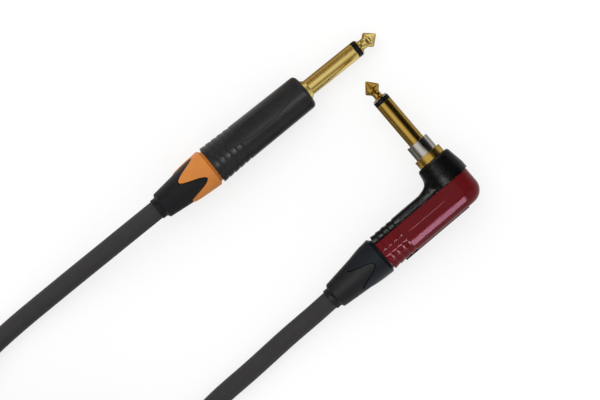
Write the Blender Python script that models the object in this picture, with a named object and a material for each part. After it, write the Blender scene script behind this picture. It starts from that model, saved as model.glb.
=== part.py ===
"""Instrument cable: one lead with a straight plug at one end and an angled, muting plug at the other.

Both plugs lie on the floor, z = 0, and the lead is wound in a round coil beside them.
Lengths are in metres. Each plug is built in its own frame, on an empty that carries it.
"""
import math

import bmesh
import bpy
from mathutils import Matrix, Vector

# ------------------------------------------------------------------ clearances
FIT = 0.0001              # radial clearance of a fixed piece in its seat
SEAT_GAP = 0.0002         # axial gap between faces that meet
RUNNING_FIT = 0.00008     # radial clearance of the mute sleeve
CORD_GAP = 0.0003         # gap between the lead's stretches, end to end

# ------------------------------------------------------------------ lead
CABLE_DIAMETER = 0.0073
JACKET_FIT = 0.0001
CORE_INSULATION_DIAMETER = 0.0030
CORE_WIRE_DIAMETER = 0.0009
SHIELD_TAIL_DIAMETER = 0.0014

# ------------------------------------------------------------------ plug contacts
PLUG_DIAMETER = 0.00635
PLUG_LENGTH = 0.0320          # from the shoulder of the sleeve to the end of the tip
TIP_LENGTH = 0.0082
TIP_BASE_DIAMETER = 0.0058
TIP_BASE_THICKNESS = 0.00045
TIP_NOSE_RADIUS = 0.00055
TIP_CONE_ANGLE = 41.0         # degrees between the cone and the axis
TIP_SHOULDER_RADIUS = 0.0008
TIP_SHOULDER_HEIGHT = 0.00458 # from the tip's base to the middle of its rounded shoulder
TIP_HOLLOW_RADIUS = 0.0012    # of the ball groove, in section
TIP_HOLLOW_REAR_RADIUS = 0.0010
TIP_HOLLOW_REAR = 0.00155
STRAIGHT_TIP_NECK_DIAMETER = 0.0038
ANGLED_TIP_NECK_DIAMETER = 0.0031
INSULATOR_WIDTH = 0.00184
SLEEVE_WALL = 0.0008
INSULATION_WALL = 0.0011
SHOULDER_RISE = 0.0011        # the flange cone's rise over the sleeve
SHOULDER_LENGTH = 0.0014
HUB_LENGTH = 0.0056
TAG_THICKNESS = 0.0005
TAG_WIDTH = 0.0022
TAG_REACH = 0.0018
REAR_INSULATOR_LENGTH = 0.0014
REAR_INSULATOR_RADIUS = 0.0039
RIVET_HEIGHT = 0.0006
RIVET_RISE = 0.0005
STRAIGHT_BARED_SHARE = 0.52   # bared core's share of the way from the jacket to the tag
ANGLED_BARED_LENGTH = 0.0080

# ------------------------------------------------------------------ chuck, bushing and boot
CHUCK_REAR_WALL = 0.00065
CHUCK_TAPER = 0.0006          # growth of the chuck's radius along the spigot
STRAIGHT_CHUCK_LENGTH = 0.0160
ANGLED_CHUCK_LENGTH = 0.0115
CHUCK_SLOT_WIDTH = 0.0008
SPIGOT_WALL = 0.00085
SPIGOT_LENGTH = 0.0062
NECK_LENGTH = 0.00145
NECK_STEP = 0.0006            # the neck's rise over the spigot
BUSHING_WALL = 0.00125
BUSHING_EDGE = 0.00022
BOOT_LENGTH = 0.0246          # from the bushing's front face to the end ring
PETAL_LENGTH = 0.0123
ARCH_DEPTH = 0.0030           # from the bushing's front face to the arches
PETAL_PROUD = 0.0006          # the petals' rise over the boot at their tips
PETAL_PROUD_FRONT = 0.00012   # and at the bushing's front face
BOOT_SEAT_DEPTH = 0.0009
BOOT_SHOULDER_WALL = 0.00145
BOOT_SHOULDER_LENGTH = 0.00065
END_RING_WALL = 0.00038
END_RING_LENGTH = 0.0019
END_RING_POCKETS = 6
POCKET_DEPTH = 0.0002
PETAL_EDGE_GAP = 0.00012
PETALS = 4
STRAIGHT_PETAL_TURN = math.radians(-22.5)   # of one petal's middle, from the plug's upper side
ANGLED_PETAL_TURN = math.radians(52.0)

# ------------------------------------------------------------------ straight shell
SHELL_LENGTH = 0.0441
SHELL_REAR_WALL = 0.0016
SHELL_WAIST_WALL = 0.0012
SHELL_FRONT_WALL = 0.0009
SHELL_FRONT_THICKNESS = 0.0018
SHELL_FRONT_ROUND = 0.0016
RIB_PITCH = 0.0026
RIB_COUNT = 5
RIB_DEPTH = 0.00026
RIB_GROOVE = 0.00012
BADGE_LENGTH = 0.0312
BADGE_WIDTH = 0.0066
BADGE_DEPTH = 0.00035
BADGE_TURN = math.radians(-15.0)
BADGE_CENTRE = 0.0226         # behind the shoulder of the sleeve

# ------------------------------------------------------------------ angled housing
HANDLE_LENGTH = 0.03585       # from the shaft axis to the rear face
HOUSING_WALL = 0.0013
HANDLE_CORNER = 0.0056
PARTING_HEIGHT = 0.0042       # along the shaft, from the handle's axis
PARTING_GAP = 0.00015
COVER_CHAMFER = 0.00025
HOUSING_RIB_RISE = 0.00012
HOUSING_RIB_GROOVE = 0.00022
HOUSING_GROOVE_WIDTH = 0.0005
SMOOTH_STRIP_TOP = 0.00035
SMOOTH_STRIP_BOTTOM = -0.0014
SMOOTH_STRIP_FADE = 0.0003
POST_HEIGHT = 0.0142
POST_OVERHANG = 0.0007        # the post's rise over the cover below it
POST_SHOULDER = 0.0070
POST_TAPER = 0.17
POST_EDGE = 0.0008
FLARE_REACH = 0.0046
FLARE_FALL = 0.0008
RAIL_THICKNESS = 0.0010
RAIL_DEPTH = 0.0014
STRIP_WIDTH = 0.0030
STRIP_FRONT = 0.0008          # behind the shaft axis
STRIP_REAR = 0.00495          # before the housing's rear face
STRIP_PROUD = 0.00035
STRIP_INLAY = 0.0006

# ------------------------------------------------------------------ angled plug, shaft side
SLEEVE_STAND = 0.0026         # from the collar's face to the line where the plug's length starts
MUTE_STAND = 0.0003           # the mute sleeve's rise over that line when pushed back
MUTE_SLEEVE_WALL = 0.00130
MUTE_SLEEVE_LENGTH = 0.0104
MUTE_TRAVEL = 0.00285
MUTE_FLANGE_RISE = 0.0003
MUTE_FLANGE_LENGTH = 0.0010
COLLAR_HEIGHT = 0.0031        # over the post
COLLAR_WALL = 0.00095
COLLAR_LIP = 0.0015
COLLAR_NECK_WALL = 0.00045
COLLAR_NECK_LENGTH = 0.0047
MAGNET_LENGTH = 0.0015
SPRING_WIRE = 0.00045
SPRING_TURNS = 4
SPRING_SEAT = 0.0052          # from the handle's axis
TUBE_FLANGE_THICKNESS = 0.00075
NUT_THICKNESS = 0.0022
NUT_ACROSS_CORNERS = 0.0102
BOARD_THICKNESS = 0.0008
BOARD_LENGTH = 0.0120
BOARD_FRONT = 0.0078          # behind the shaft axis
BOARD_TOP = 0.0030
REED_DIAMETER = 0.0018
REED_GLASS_LENGTH = 0.0072
REED_LEAD_DIAMETER = 0.0005

# ------------------------------------------------------------------ where the plugs lie
STRAIGHT_HEADING = math.radians(38.91)
STRAIGHT_DIP = math.radians(3.5)        # tip down, on the shell's front edge
STRAIGHT_SHOULDER_AT = (-0.00239, 0.03032)
ANGLED_HEADING = math.radians(40.4)     # from the boot to the corner
ANGLED_RISE = math.radians(3.5)         # corner up, on the bushing's edge
ANGLED_CORNER_AT = (0.05234, -0.00701)
BOOT_LEAN = math.radians(1.5)
BOOT_DROP = 0.0001            # away from the tip, at the housing's rear face
BOOT_SETBACK = 0.0001

# ------------------------------------------------------------------ coil of the lead
COIL_CENTRE = (-0.0906, -0.1494)
COIL_INNER_RADIUS = 0.0303
COIL_LAYERS = 4
COIL_PITCH = 0.00795          # from loop to loop and from layer to layer
COIL_START = math.radians(175.0)
COIL_TURNS = 10 + 207.0 / 360.0
LOOP_POINTS = 24

# ------------------------------------------------------------------ facets
ENTRY_SIDES = 48
OUTER_SIDES = 32
SHAFT_SIDES = 24
INNER_SIDES = 18
FINE_SIDES = 12
SMOOTH_ANGLE = math.radians(32.0)

# ------------------------------------------------------------------ finishes: colour, roughness, metallic
GOLD = ((0.90, 0.70, 0.32), 0.18, 1.0)
GOLD_DARK = ((0.80, 0.56, 0.20), 0.18, 1.0)
SILVER = ((0.74, 0.73, 0.71), 0.22, 1.0)
TIN = ((0.66, 0.66, 0.64), 0.35, 1.0)
STEEL = ((0.55, 0.55, 0.56), 0.30, 1.0)
COPPER = ((0.80, 0.42, 0.22), 0.35, 1.0)
MAGNET = ((0.30, 0.30, 0.31), 0.45, 1.0)
SHELL_PLASTIC = ((0.030, 0.030, 0.031), 0.38, 0.0)
BODY_PLASTIC = ((0.016, 0.017, 0.020), 0.30, 0.0)
BLACK_PLASTIC = ((0.020, 0.020, 0.020), 0.40, 0.0)
BUSHING_BLACK = ((0.022, 0.026, 0.034), 0.36, 0.0)
BOOT_RUBBER = ((0.028, 0.028, 0.030), 0.62, 0.0)
ORANGE_PLASTIC = ((0.62, 0.22, 0.05), 0.42, 0.0)
RED_GLOSS = ((0.13, 0.010, 0.012), 0.16, 0.0)
WHITE_PLASTIC = ((0.75, 0.75, 0.72), 0.45, 0.0)
BOARD_GREEN = ((0.03, 0.16, 0.06), 0.45, 0.0)
GLASS_GREEN = ((0.35, 0.60, 0.45), 0.08, 0.0)
JACKET = ((0.045, 0.043, 0.043), 0.55, 0.0)

# ------------------------------------------------------------------ sizes that follow
CABLE_RADIUS = CABLE_DIAMETER / 2
PLUG_RADIUS = PLUG_DIAMETER / 2
JACKET_BORE = CABLE_RADIUS + JACKET_FIT
CHUCK_REAR_RADIUS = JACKET_BORE + CHUCK_REAR_WALL
CHUCK_FRONT_RADIUS = CHUCK_REAR_RADIUS + CHUCK_TAPER
SPIGOT_RADIUS = CHUCK_FRONT_RADIUS + FIT + SPIGOT_WALL
CAVITY_RADIUS = SPIGOT_RADIUS + FIT
NECK_RADIUS = SPIGOT_RADIUS + NECK_STEP
SHELL_REAR_RADIUS = CAVITY_RADIUS + SHELL_REAR_WALL
CHUCK_HEAD_RADIUS = CAVITY_RADIUS - 2 * FIT
HUB_RADIUS = CAVITY_RADIUS - 4 * FIT
BUSHING_RADIUS = SHELL_REAR_RADIUS
SLEEVE_BORE = PLUG_RADIUS - SLEEVE_WALL
ROD_RADIUS = SLEEVE_BORE - FIT - INSULATION_WALL
RIVET_RADIUS = ROD_RADIUS + RIVET_RISE
SHOULDER_RADIUS = PLUG_RADIUS + SHOULDER_RISE
HALF_WIDTH = CAVITY_RADIUS + FIT + HOUSING_WALL
MUTE_BORE = PLUG_RADIUS + RUNNING_FIT
MUTE_RADIUS = MUTE_BORE + MUTE_SLEEVE_WALL
MUTE_FLANGE_RADIUS = MUTE_RADIUS + MUTE_FLANGE_RISE
COLLAR_BORE = MUTE_RADIUS + RUNNING_FIT
COLLAR_INNER_RADIUS = MUTE_FLANGE_RADIUS + RUNNING_FIT
COLLAR_NECK_RADIUS = COLLAR_INNER_RADIUS + COLLAR_NECK_WALL
COLLAR_RADIUS = COLLAR_BORE + COLLAR_WALL
COVER_TOP = PARTING_HEIGHT - PARTING_GAP / 2
BODY_BOTTOM = PARTING_HEIGHT + PARTING_GAP / 2
CORNER_CENTRE = HALF_WIDTH - HANDLE_CORNER
POST_RADIUS = HALF_WIDTH + POST_OVERHANG
STRIP_LENGTH = HANDLE_LENGTH - STRIP_FRONT - STRIP_REAR
COLLAR_FRONT = POST_HEIGHT + COLLAR_HEIGHT
ANGLED_TIP_END = COLLAR_FRONT + SLEEVE_STAND + PLUG_LENGTH


def material(name, finish):
    """A piece's own material, from a finish: colour, roughness and metallic."""
    colour, roughness, metallic = finish
    made = bpy.data.materials.new(name)
    made.use_nodes = True
    shader = made.node_tree.nodes["Principled BSDF"]
    shader.inputs["Base Color"].default_value = (*colour, 1.0)
    shader.inputs["Roughness"].default_value = roughness
    shader.inputs["Metallic"].default_value = metallic
    return made


def carrier(name, parent, matrix):
    """An empty that carries pieces in its own frame."""
    empty = bpy.data.objects.new(name, None)
    bpy.context.scene.collection.objects.link(empty)
    empty.parent = parent
    empty.matrix_local = matrix
    return empty


def add_piece(name, data, finish, parent):
    """Links a piece under its carrier, or a hidden cutter where there is no finish."""
    piece = bpy.data.objects.new(name, data)
    bpy.context.scene.collection.objects.link(piece)
    piece.parent = parent
    if finish:
        data.materials.append(material(name, finish))
    else:
        piece.hide_render = True
        piece.display_type = "WIRE"
    return piece


def closed_mesh(name, mesh):
    """The finished mesh of one closed body, smooth between its sharp edges."""
    bmesh.ops.recalc_face_normals(mesh, faces=mesh.faces)
    data = bpy.data.meshes.new(name)
    mesh.to_mesh(data)
    mesh.free()
    data.shade_smooth()
    data.set_sharp_from_angle(angle=SMOOTH_ANGLE)
    return data


def turned(name, profile, finish, parent, sides=OUTER_SIDES):
    """A solid turned about Z from the (radius, height) points of its section."""
    mesh = bmesh.new()
    points = [mesh.verts.new((radius, 0.0, height)) for radius, height in profile]
    edges = [mesh.edges.new(pair) for pair in zip(points, points[1:])]
    if profile[0][0] > 0.0:
        edges.append(mesh.edges.new((points[-1], points[0])))
    bmesh.ops.spin(mesh, geom=points + edges, cent=(0, 0, 0), axis=(0, 0, 1),
                   angle=math.tau, steps=sides, use_merge=True)
    bmesh.ops.remove_doubles(mesh, verts=mesh.verts, dist=1e-7)
    return add_piece(name, closed_mesh(name, mesh), finish, parent)


def lofted_ring(name, section_at, start, finish, parent, sides=ENTRY_SIDES):
    """A ring about Z through the closed (radius, height) sections that section_at(angle) gives."""
    mesh = bmesh.new()
    rings = []
    for k in range(sides):
        angle = start + math.tau * k / sides
        turn = (math.cos(angle), math.sin(angle))
        rings.append([mesh.verts.new((r * turn[0], r * turn[1], z)) for r, z in section_at(angle)])
    for ring, following in zip(rings, rings[1:] + rings[:1]):
        for i in range(len(ring)):
            mesh.faces.new((ring[i - 1], ring[i], following[i], following[i - 1]))
    return add_piece(name, closed_mesh(name, mesh), finish, parent)


def block(name, low, high, finish, parent):
    """A box between two corners."""
    mesh = bmesh.new()
    bmesh.ops.create_cube(mesh, size=1.0)
    size = [b - a for a, b in zip(low, high)]
    centre = [(a + b) / 2 for a, b in zip(low, high)]
    bmesh.ops.scale(mesh, vec=size, verts=mesh.verts)
    bmesh.ops.translate(mesh, vec=centre, verts=mesh.verts)
    return add_piece(name, closed_mesh(name, mesh), finish, parent)


def combine(piece, tool, operation):
    """Cuts a hidden tool from a piece, or joins it on."""
    step = piece.modifiers.new(f"{operation.lower()}_{tool.name}", "BOOLEAN")
    step.operation = operation
    step.object = tool
    step.solver = "EXACT"


def tube(name, points, radius, finish, parent, resolution):
    """A round tube with filled ends along a chain of points."""
    data = bpy.data.curves.new(name, "CURVE")
    data.dimensions = "3D"
    line = data.splines.new("POLY")
    line.points.add(len(points) - 1)
    for place, point in zip(line.points, points):
        place.co = (*point, 1.0)
    data.bevel_depth = radius
    data.bevel_resolution = resolution
    data.use_fill_caps = True
    return add_piece(name, data, finish, parent)


def smooth_route(points, spacing):
    """Points about a spacing apart on a smooth curve through the route's own points."""
    chosen = [points[0]]
    last = len(points) - 1
    for i, (start, end) in enumerate(zip(points, points[1:])):
        reach = (end - start).length
        leave = (end - points[max(i - 1, 0)]).normalized() * reach
        arrive = (points[min(i + 2, last)] - start).normalized() * reach
        steps = max(1, round(reach / spacing))
        for k in range(1, steps + 1):
            t = k / steps
            chosen.append(start * (2 * t**3 - 3 * t**2 + 1) + leave * (t**3 - 2 * t**2 + t)
                          + end * (3 * t**2 - 2 * t**3) + arrive * (t**3 - t**2))
    return chosen


# ------------------------------------------------------------------ contacts of both plugs

def arc(radius, height, bend, first, last, steps):
    """Points of an arc in a section, from one direction to another: 0 is outward and 90 is up."""
    turns = [math.radians(first + (last - first) * k / steps) for k in range(steps + 1)]
    return [(radius + bend * math.cos(turn), height + bend * math.sin(turn)) for turn in turns]


def make_tip(prefix, end, rear, neck, finish, parent):
    """The tip: nose, cone, rounded shoulder and ball groove, and the rod that runs back to a rivet."""
    base = end - TIP_LENGTH
    flare = 45.0
    shoulder = arc(PLUG_RADIUS - 0.5 * FIT - TIP_SHOULDER_RADIUS, base + TIP_SHOULDER_HEIGHT,
                   TIP_SHOULDER_RADIUS, TIP_CONE_ANGLE, -flare, 3)
    run_out = neck + TIP_HOLLOW_RADIUS * (1 - math.cos(math.radians(flare)))
    hollow = (shoulder[-1][1] - (shoulder[-1][0] - run_out) / math.tan(math.radians(flare))
              - TIP_HOLLOW_RADIUS * math.sin(math.radians(flare)))
    profile = [
        (0.0, end),
        *arc(0.0, end - TIP_NOSE_RADIUS, TIP_NOSE_RADIUS, 66.0, TIP_CONE_ANGLE, 1),
        *shoulder,
        *arc(neck + TIP_HOLLOW_RADIUS, hollow, TIP_HOLLOW_RADIUS, 180.0 - flare, 180.0, 2),
        *arc(neck + TIP_HOLLOW_REAR_RADIUS, base + TIP_HOLLOW_REAR, TIP_HOLLOW_REAR_RADIUS,
             180.0, 235.0, 2),
        (TIP_BASE_DIAMETER / 2, base + TIP_BASE_THICKNESS),
        (TIP_BASE_DIAMETER / 2, base + SEAT_GAP / 2),
        (ROD_RADIUS, base + SEAT_GAP / 2),
        (ROD_RADIUS, rear + RIVET_HEIGHT),
        (RIVET_RADIUS, rear + RIVET_HEIGHT),
        (RIVET_RADIUS, rear),
        (0.0, rear),
    ]
    return turned(f"{prefix}_tip", profile, finish, parent, SHAFT_SIDES)


def make_insulator(prefix, end, rear, finish, parent):
    """The ring behind the tip, with the tube that lines the sleeve."""
    front = end - TIP_LENGTH - SEAT_GAP / 2
    back = front - INSULATOR_WIDTH + SEAT_GAP
    profile = [
        (ROD_RADIUS + FIT / 2, front),
        (PLUG_RADIUS, front),
        (PLUG_RADIUS, back),
        (SLEEVE_BORE - FIT / 2, back),
        (SLEEVE_BORE - FIT / 2, rear),
        (ROD_RADIUS + FIT / 2, rear),
    ]
    return turned(f"{prefix}_insulator", profile, finish, parent, SHAFT_SIDES)


def make_tag(name, bore, outer, height, tab_turn, finish, parent):
    """A solder tag: a washer on the rod with a flat tab for the wire."""
    profile = [
        (bore, height),
        (outer, height),
        (outer, height - TAG_THICKNESS),
        (bore, height - TAG_THICKNESS),
    ]
    tag = turned(name, profile, finish, parent, INNER_SIDES)
    root = (bore + outer) / 2
    tab = block(f"{name}_tab", (root, -TAG_WIDTH / 2, height - TAG_THICKNESS),
                (outer + TAG_REACH, TAG_WIDTH / 2, height), None, parent)
    tab.rotation_euler = (0.0, 0.0, tab_turn)
    combine(tag, tab, "UNION")
    return tag


def make_rear_insulator(prefix, front, finish, parent):
    """The washer that keeps the rod's tag off the sleeve."""
    profile = [
        (ROD_RADIUS + FIT / 2, front),
        (REAR_INSULATOR_RADIUS, front),
        (REAR_INSULATOR_RADIUS, front - REAR_INSULATOR_LENGTH),
        (ROD_RADIUS + FIT / 2, front - REAR_INSULATOR_LENGTH),
    ]
    return turned(f"{prefix}_rear_insulator", profile, finish, parent, INNER_SIDES)


# ------------------------------------------------------------------ cable entry of both plugs
# Its frame has z = 0 on the housing's rear face, and +Z runs into the housing.

BUSHING_FRONT = -NECK_LENGTH
BUSHING_WALL_REAR = BUSHING_FRONT - BUSHING_WALL
BOOT_END = BUSHING_FRONT - BOOT_LENGTH
PETAL_TIP = BUSHING_FRONT - PETAL_LENGTH
ARCH = BUSHING_FRONT - ARCH_DEPTH
RING_FRONT = BOOT_END + END_RING_LENGTH
BOOT_SHOULDER = RING_FRONT + BOOT_SHOULDER_LENGTH
BOOT_SHOULDER_RADIUS = JACKET_BORE + BOOT_SHOULDER_WALL
END_RING_RADIUS = JACKET_BORE + END_RING_WALL
CHUCK_REAR = SEAT_GAP


def boot_radius(height):
    """The boot's cone, from its shoulder to the bushing's front face."""
    share = (height - BOOT_SHOULDER) / (BUSHING_FRONT - BOOT_SHOULDER)
    return BOOT_SHOULDER_RADIUS + share * (BUSHING_RADIUS - PETAL_PROUD_FRONT - BOOT_SHOULDER_RADIUS)


def petal_radius(height):
    """The petals' outer cone."""
    share = (height - PETAL_TIP) / (BUSHING_FRONT - PETAL_TIP)
    tip_radius = boot_radius(PETAL_TIP) + PETAL_PROUD
    return tip_radius + share * (BUSHING_RADIUS - tip_radius)


def seat_radius(height):
    """The cone that carries the petals."""
    return boot_radius(height) - BOOT_SEAT_DEPTH


def petal_edge(angle, turn, gap=0.0):
    """Height of the wave between bushing and boot, or of a line a gap away from it."""
    swing = (ARCH - PETAL_TIP) / 2
    height = ARCH - swing - swing * math.cos(PETALS * (angle - turn))
    slope = swing * PETALS * math.sin(PETALS * (angle - turn)) / NECK_RADIUS
    return height - gap * math.hypot(1.0, slope)


def make_boot(prefix, turn, finish, parent):
    """The soft cone behind the bushing, with the slotted ring at its end."""
    pocket_turn = math.tau / END_RING_POCKETS

    def section(angle):
        edge = petal_edge(angle, turn, PETAL_EDGE_GAP)
        share = ((angle - turn) / pocket_turn + 0.25) % 1.0
        ring = END_RING_RADIUS - (POCKET_DEPTH if share < 0.45 else 0.0)
        front = BUSHING_WALL_REAR - SEAT_GAP
        return [
            (JACKET_BORE, BOOT_END),
            (ring, BOOT_END),
            (ring, RING_FRONT - SEAT_GAP),
            (END_RING_RADIUS, RING_FRONT),
            (BOOT_SHOULDER_RADIUS, BOOT_SHOULDER),
            (boot_radius((BOOT_SHOULDER + edge) / 2), (BOOT_SHOULDER + edge) / 2),
            (boot_radius(edge), edge),
            (seat_radius(edge), edge),
            (seat_radius(front), front),
            (JACKET_BORE, front),
        ]

    return lofted_ring(f"{prefix}_boot", section, turn, finish, parent)


def make_bushing(prefix, turn, finish, parent):
    """The hard bushing: petals over the boot, a neck, and the spigot that holds the chuck."""

    def section(angle):
        edge = petal_edge(angle, turn)
        return [
            (seat_radius(edge) + FIT, edge),
            (petal_radius(edge) - BUSHING_EDGE, edge),
            (petal_radius(edge + BUSHING_EDGE), edge + BUSHING_EDGE),
            (BUSHING_RADIUS, BUSHING_FRONT - BUSHING_EDGE),
            (BUSHING_RADIUS - BUSHING_EDGE, BUSHING_FRONT),
            (NECK_RADIUS, BUSHING_FRONT),
            (NECK_RADIUS, -SEAT_GAP),
            (SPIGOT_RADIUS, -SEAT_GAP),
            (SPIGOT_RADIUS, SPIGOT_LENGTH),
            (CHUCK_FRONT_RADIUS + FIT, SPIGOT_LENGTH),
            (CHUCK_REAR_RADIUS + FIT, 0.0),
            (JACKET_BORE, 0.0),
            (JACKET_BORE, BUSHING_WALL_REAR),
            (seat_radius(BUSHING_WALL_REAR) + FIT, BUSHING_WALL_REAR),
        ]

    return lofted_ring(f"{prefix}_bushing", section, turn, finish, parent)


def make_chuck(prefix, length, finish, parent):
    """The collet that clamps the jacket: a slotted cone in the spigot, with a head before it."""
    front = CHUCK_REAR + length
    head = SPIGOT_LENGTH + SEAT_GAP
    profile = [
        (JACKET_BORE, CHUCK_REAR),
        (CHUCK_REAR_RADIUS, CHUCK_REAR),
        (CHUCK_FRONT_RADIUS, SPIGOT_LENGTH),
        (CHUCK_FRONT_RADIUS, head),
        (CHUCK_HEAD_RADIUS, head),
        (CHUCK_HEAD_RADIUS, front),
        (JACKET_BORE, front),
    ]
    chuck = turned(f"{prefix}_chuck", profile, finish, parent, INNER_SIDES)
    slot_end = head + (front - head) / 2
    reach = CHUCK_HEAD_RADIUS + FIT
    for k in range(2):
        slot = block(f"{prefix}_chuck_slot_{k}", (-reach, -CHUCK_SLOT_WIDTH / 2, -SPIGOT_LENGTH),
                     (reach, CHUCK_SLOT_WIDTH / 2, slot_end), None, parent)
        slot.rotation_euler = (0.0, 0.0, math.pi / 4 + k * math.pi / 2)
        combine(chuck, slot, "DIFFERENCE")
    return chuck


def make_jacket_end(prefix, chuck_length, finish, parent):
    """The lead's jacket inside the boot and chuck."""
    front = CHUCK_REAR + chuck_length
    profile = [
        (0.0, BOOT_END),
        (CABLE_RADIUS, BOOT_END),
        (CABLE_RADIUS, front),
        (0.0, front),
    ]
    return turned(f"{prefix}_jacket_end", profile, finish, parent, INNER_SIDES)


def make_core_insulation(prefix, chuck_length, length, finish, parent):
    """The bared insulation of the core, in front of the jacket."""
    rear = CHUCK_REAR + chuck_length + SEAT_GAP
    profile = [
        (0.0, rear),
        (CORE_INSULATION_DIAMETER / 2, rear),
        (CORE_INSULATION_DIAMETER / 2, rear + length),
        (0.0, rear + length),
    ]
    return turned(f"{prefix}_core_insulation", profile, finish, parent, FINE_SIDES)


def make_cable_entry(prefix, turn, chuck_length, bushing_finish, parent):
    """Boot, bushing, chuck and jacket end of one plug."""
    make_bushing(prefix, turn, bushing_finish, parent)
    make_boot(prefix, turn, BOOT_RUBBER, parent)
    make_chuck(prefix, chuck_length, WHITE_PLASTIC, parent)
    make_jacket_end(prefix, chuck_length, JACKET, parent)


# ------------------------------------------------------------------ straight plug
# Its frame has z = 0 at the shoulder where the sleeve turns cylindrical, and +Z runs to the tip.

SHELL_FRONT = -SHOULDER_LENGTH
SHELL_REAR = SHELL_FRONT - SHELL_LENGTH
SHELL_INNER_FRONT = SHELL_FRONT - SHELL_FRONT_THICKNESS
HUB_FRONT = SHELL_INNER_FRONT - SEAT_GAP
HUB_REAR = HUB_FRONT - HUB_LENGTH
SHELL_OPENING = SHOULDER_RADIUS + FIT
SHELL_FACE_RADIUS = SHELL_OPENING + 0.0008


def shell_profile():
    """Section of the shell: ribs over the rear, a taper to the rounded front, and the bore."""
    waist = SHELL_REAR + RIB_COUNT * RIB_PITCH
    waist_radius = CAVITY_RADIUS + SHELL_WAIST_WALL
    front_radius = CAVITY_RADIUS + SHELL_FRONT_WALL
    profile = [(SHELL_REAR_RADIUS - RIB_DEPTH, SHELL_REAR)]
    for k in range(RIB_COUNT):
        crest = SHELL_REAR_RADIUS + (waist_radius - SHELL_REAR_RADIUS) * k / RIB_COUNT
        start = SHELL_REAR + k * RIB_PITCH
        profile += [
            (crest, start + 0.10 * RIB_PITCH),
            (crest - RIB_DEPTH, start + 0.86 * RIB_PITCH),
            (crest - RIB_DEPTH - RIB_GROOVE, start + 0.96 * RIB_PITCH),
        ]
    profile.append((waist_radius, waist + 0.10 * RIB_PITCH))
    for turn in (0.0, 30.0, 60.0, 90.0):
        lean = math.radians(turn)
        profile.append((SHELL_FACE_RADIUS + (front_radius - SHELL_FACE_RADIUS) * math.cos(lean),
                        SHELL_FRONT - SHELL_FRONT_ROUND * (1 - math.sin(lean))))
    profile += [
        (SHELL_OPENING, SHELL_FRONT),
        (SHELL_OPENING, SHELL_INNER_FRONT),
        (HUB_RADIUS + FIT, SHELL_INNER_FRONT),
        (HUB_RADIUS + FIT, HUB_REAR - SEAT_GAP),
        (CAVITY_RADIUS, HUB_REAR - 2 * SEAT_GAP),
        (CAVITY_RADIUS, SHELL_REAR),
    ]
    return profile


def make_badge_recess(parent):
    """The cutter of the shell's elliptical recess, bent to the shell."""
    outline_points, rings = 32, 2
    middle = CAVITY_RADIUS + (SHELL_WAIST_WALL + SHELL_FRONT_WALL) / 2
    floor, roof = middle - BADGE_DEPTH, middle + 4 * BADGE_DEPTH
    half_turn = math.asin(BADGE_WIDTH / 2 / middle)
    mesh = bmesh.new()
    layers = []
    for radius in (floor, roof):
        centre = mesh.verts.new((radius * math.cos(BADGE_TURN), radius * math.sin(BADGE_TURN),
                                 -BADGE_CENTRE))
        grid = []
        for ring in range(1, rings + 1):
            share = ring / rings
            row = []
            for k in range(outline_points):
                step = math.tau * k / outline_points
                angle = BADGE_TURN + half_turn * share * math.sin(step)
                height = BADGE_LENGTH / 2 * share * math.cos(step) - BADGE_CENTRE
                row.append(mesh.verts.new((radius * math.cos(angle), radius * math.sin(angle), height)))
            grid.append(row)
        layers.append(grid)
        for k in range(outline_points):
            mesh.faces.new((centre, grid[0][k - 1], grid[0][k]))
            for inner, outer in zip(grid, grid[1:]):
                mesh.faces.new((inner[k - 1], outer[k - 1], outer[k], inner[k]))
    low, high = layers[0][-1], layers[1][-1]
    for k in range(outline_points):
        mesh.faces.new((low[k - 1], low[k], high[k], high[k - 1]))
    return add_piece("badge_recess", closed_mesh("badge_recess", mesh), None, parent)


def make_straight_sleeve(parent):
    """The sleeve contact with its shoulder cone and the hub inside the shell."""
    front = PLUG_LENGTH - TIP_LENGTH - INSULATOR_WIDTH
    profile = [
        (SLEEVE_BORE, front),
        (PLUG_RADIUS, front),
        (PLUG_RADIUS, 0.0),
        (SHOULDER_RADIUS, SHELL_FRONT),
        (SHOULDER_RADIUS, HUB_FRONT),
        (HUB_RADIUS, HUB_FRONT),
        (HUB_RADIUS, HUB_REAR),
        (SLEEVE_BORE, HUB_REAR),
    ]
    return turned("straight_sleeve", profile, GOLD, parent, SHAFT_SIDES)


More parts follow.
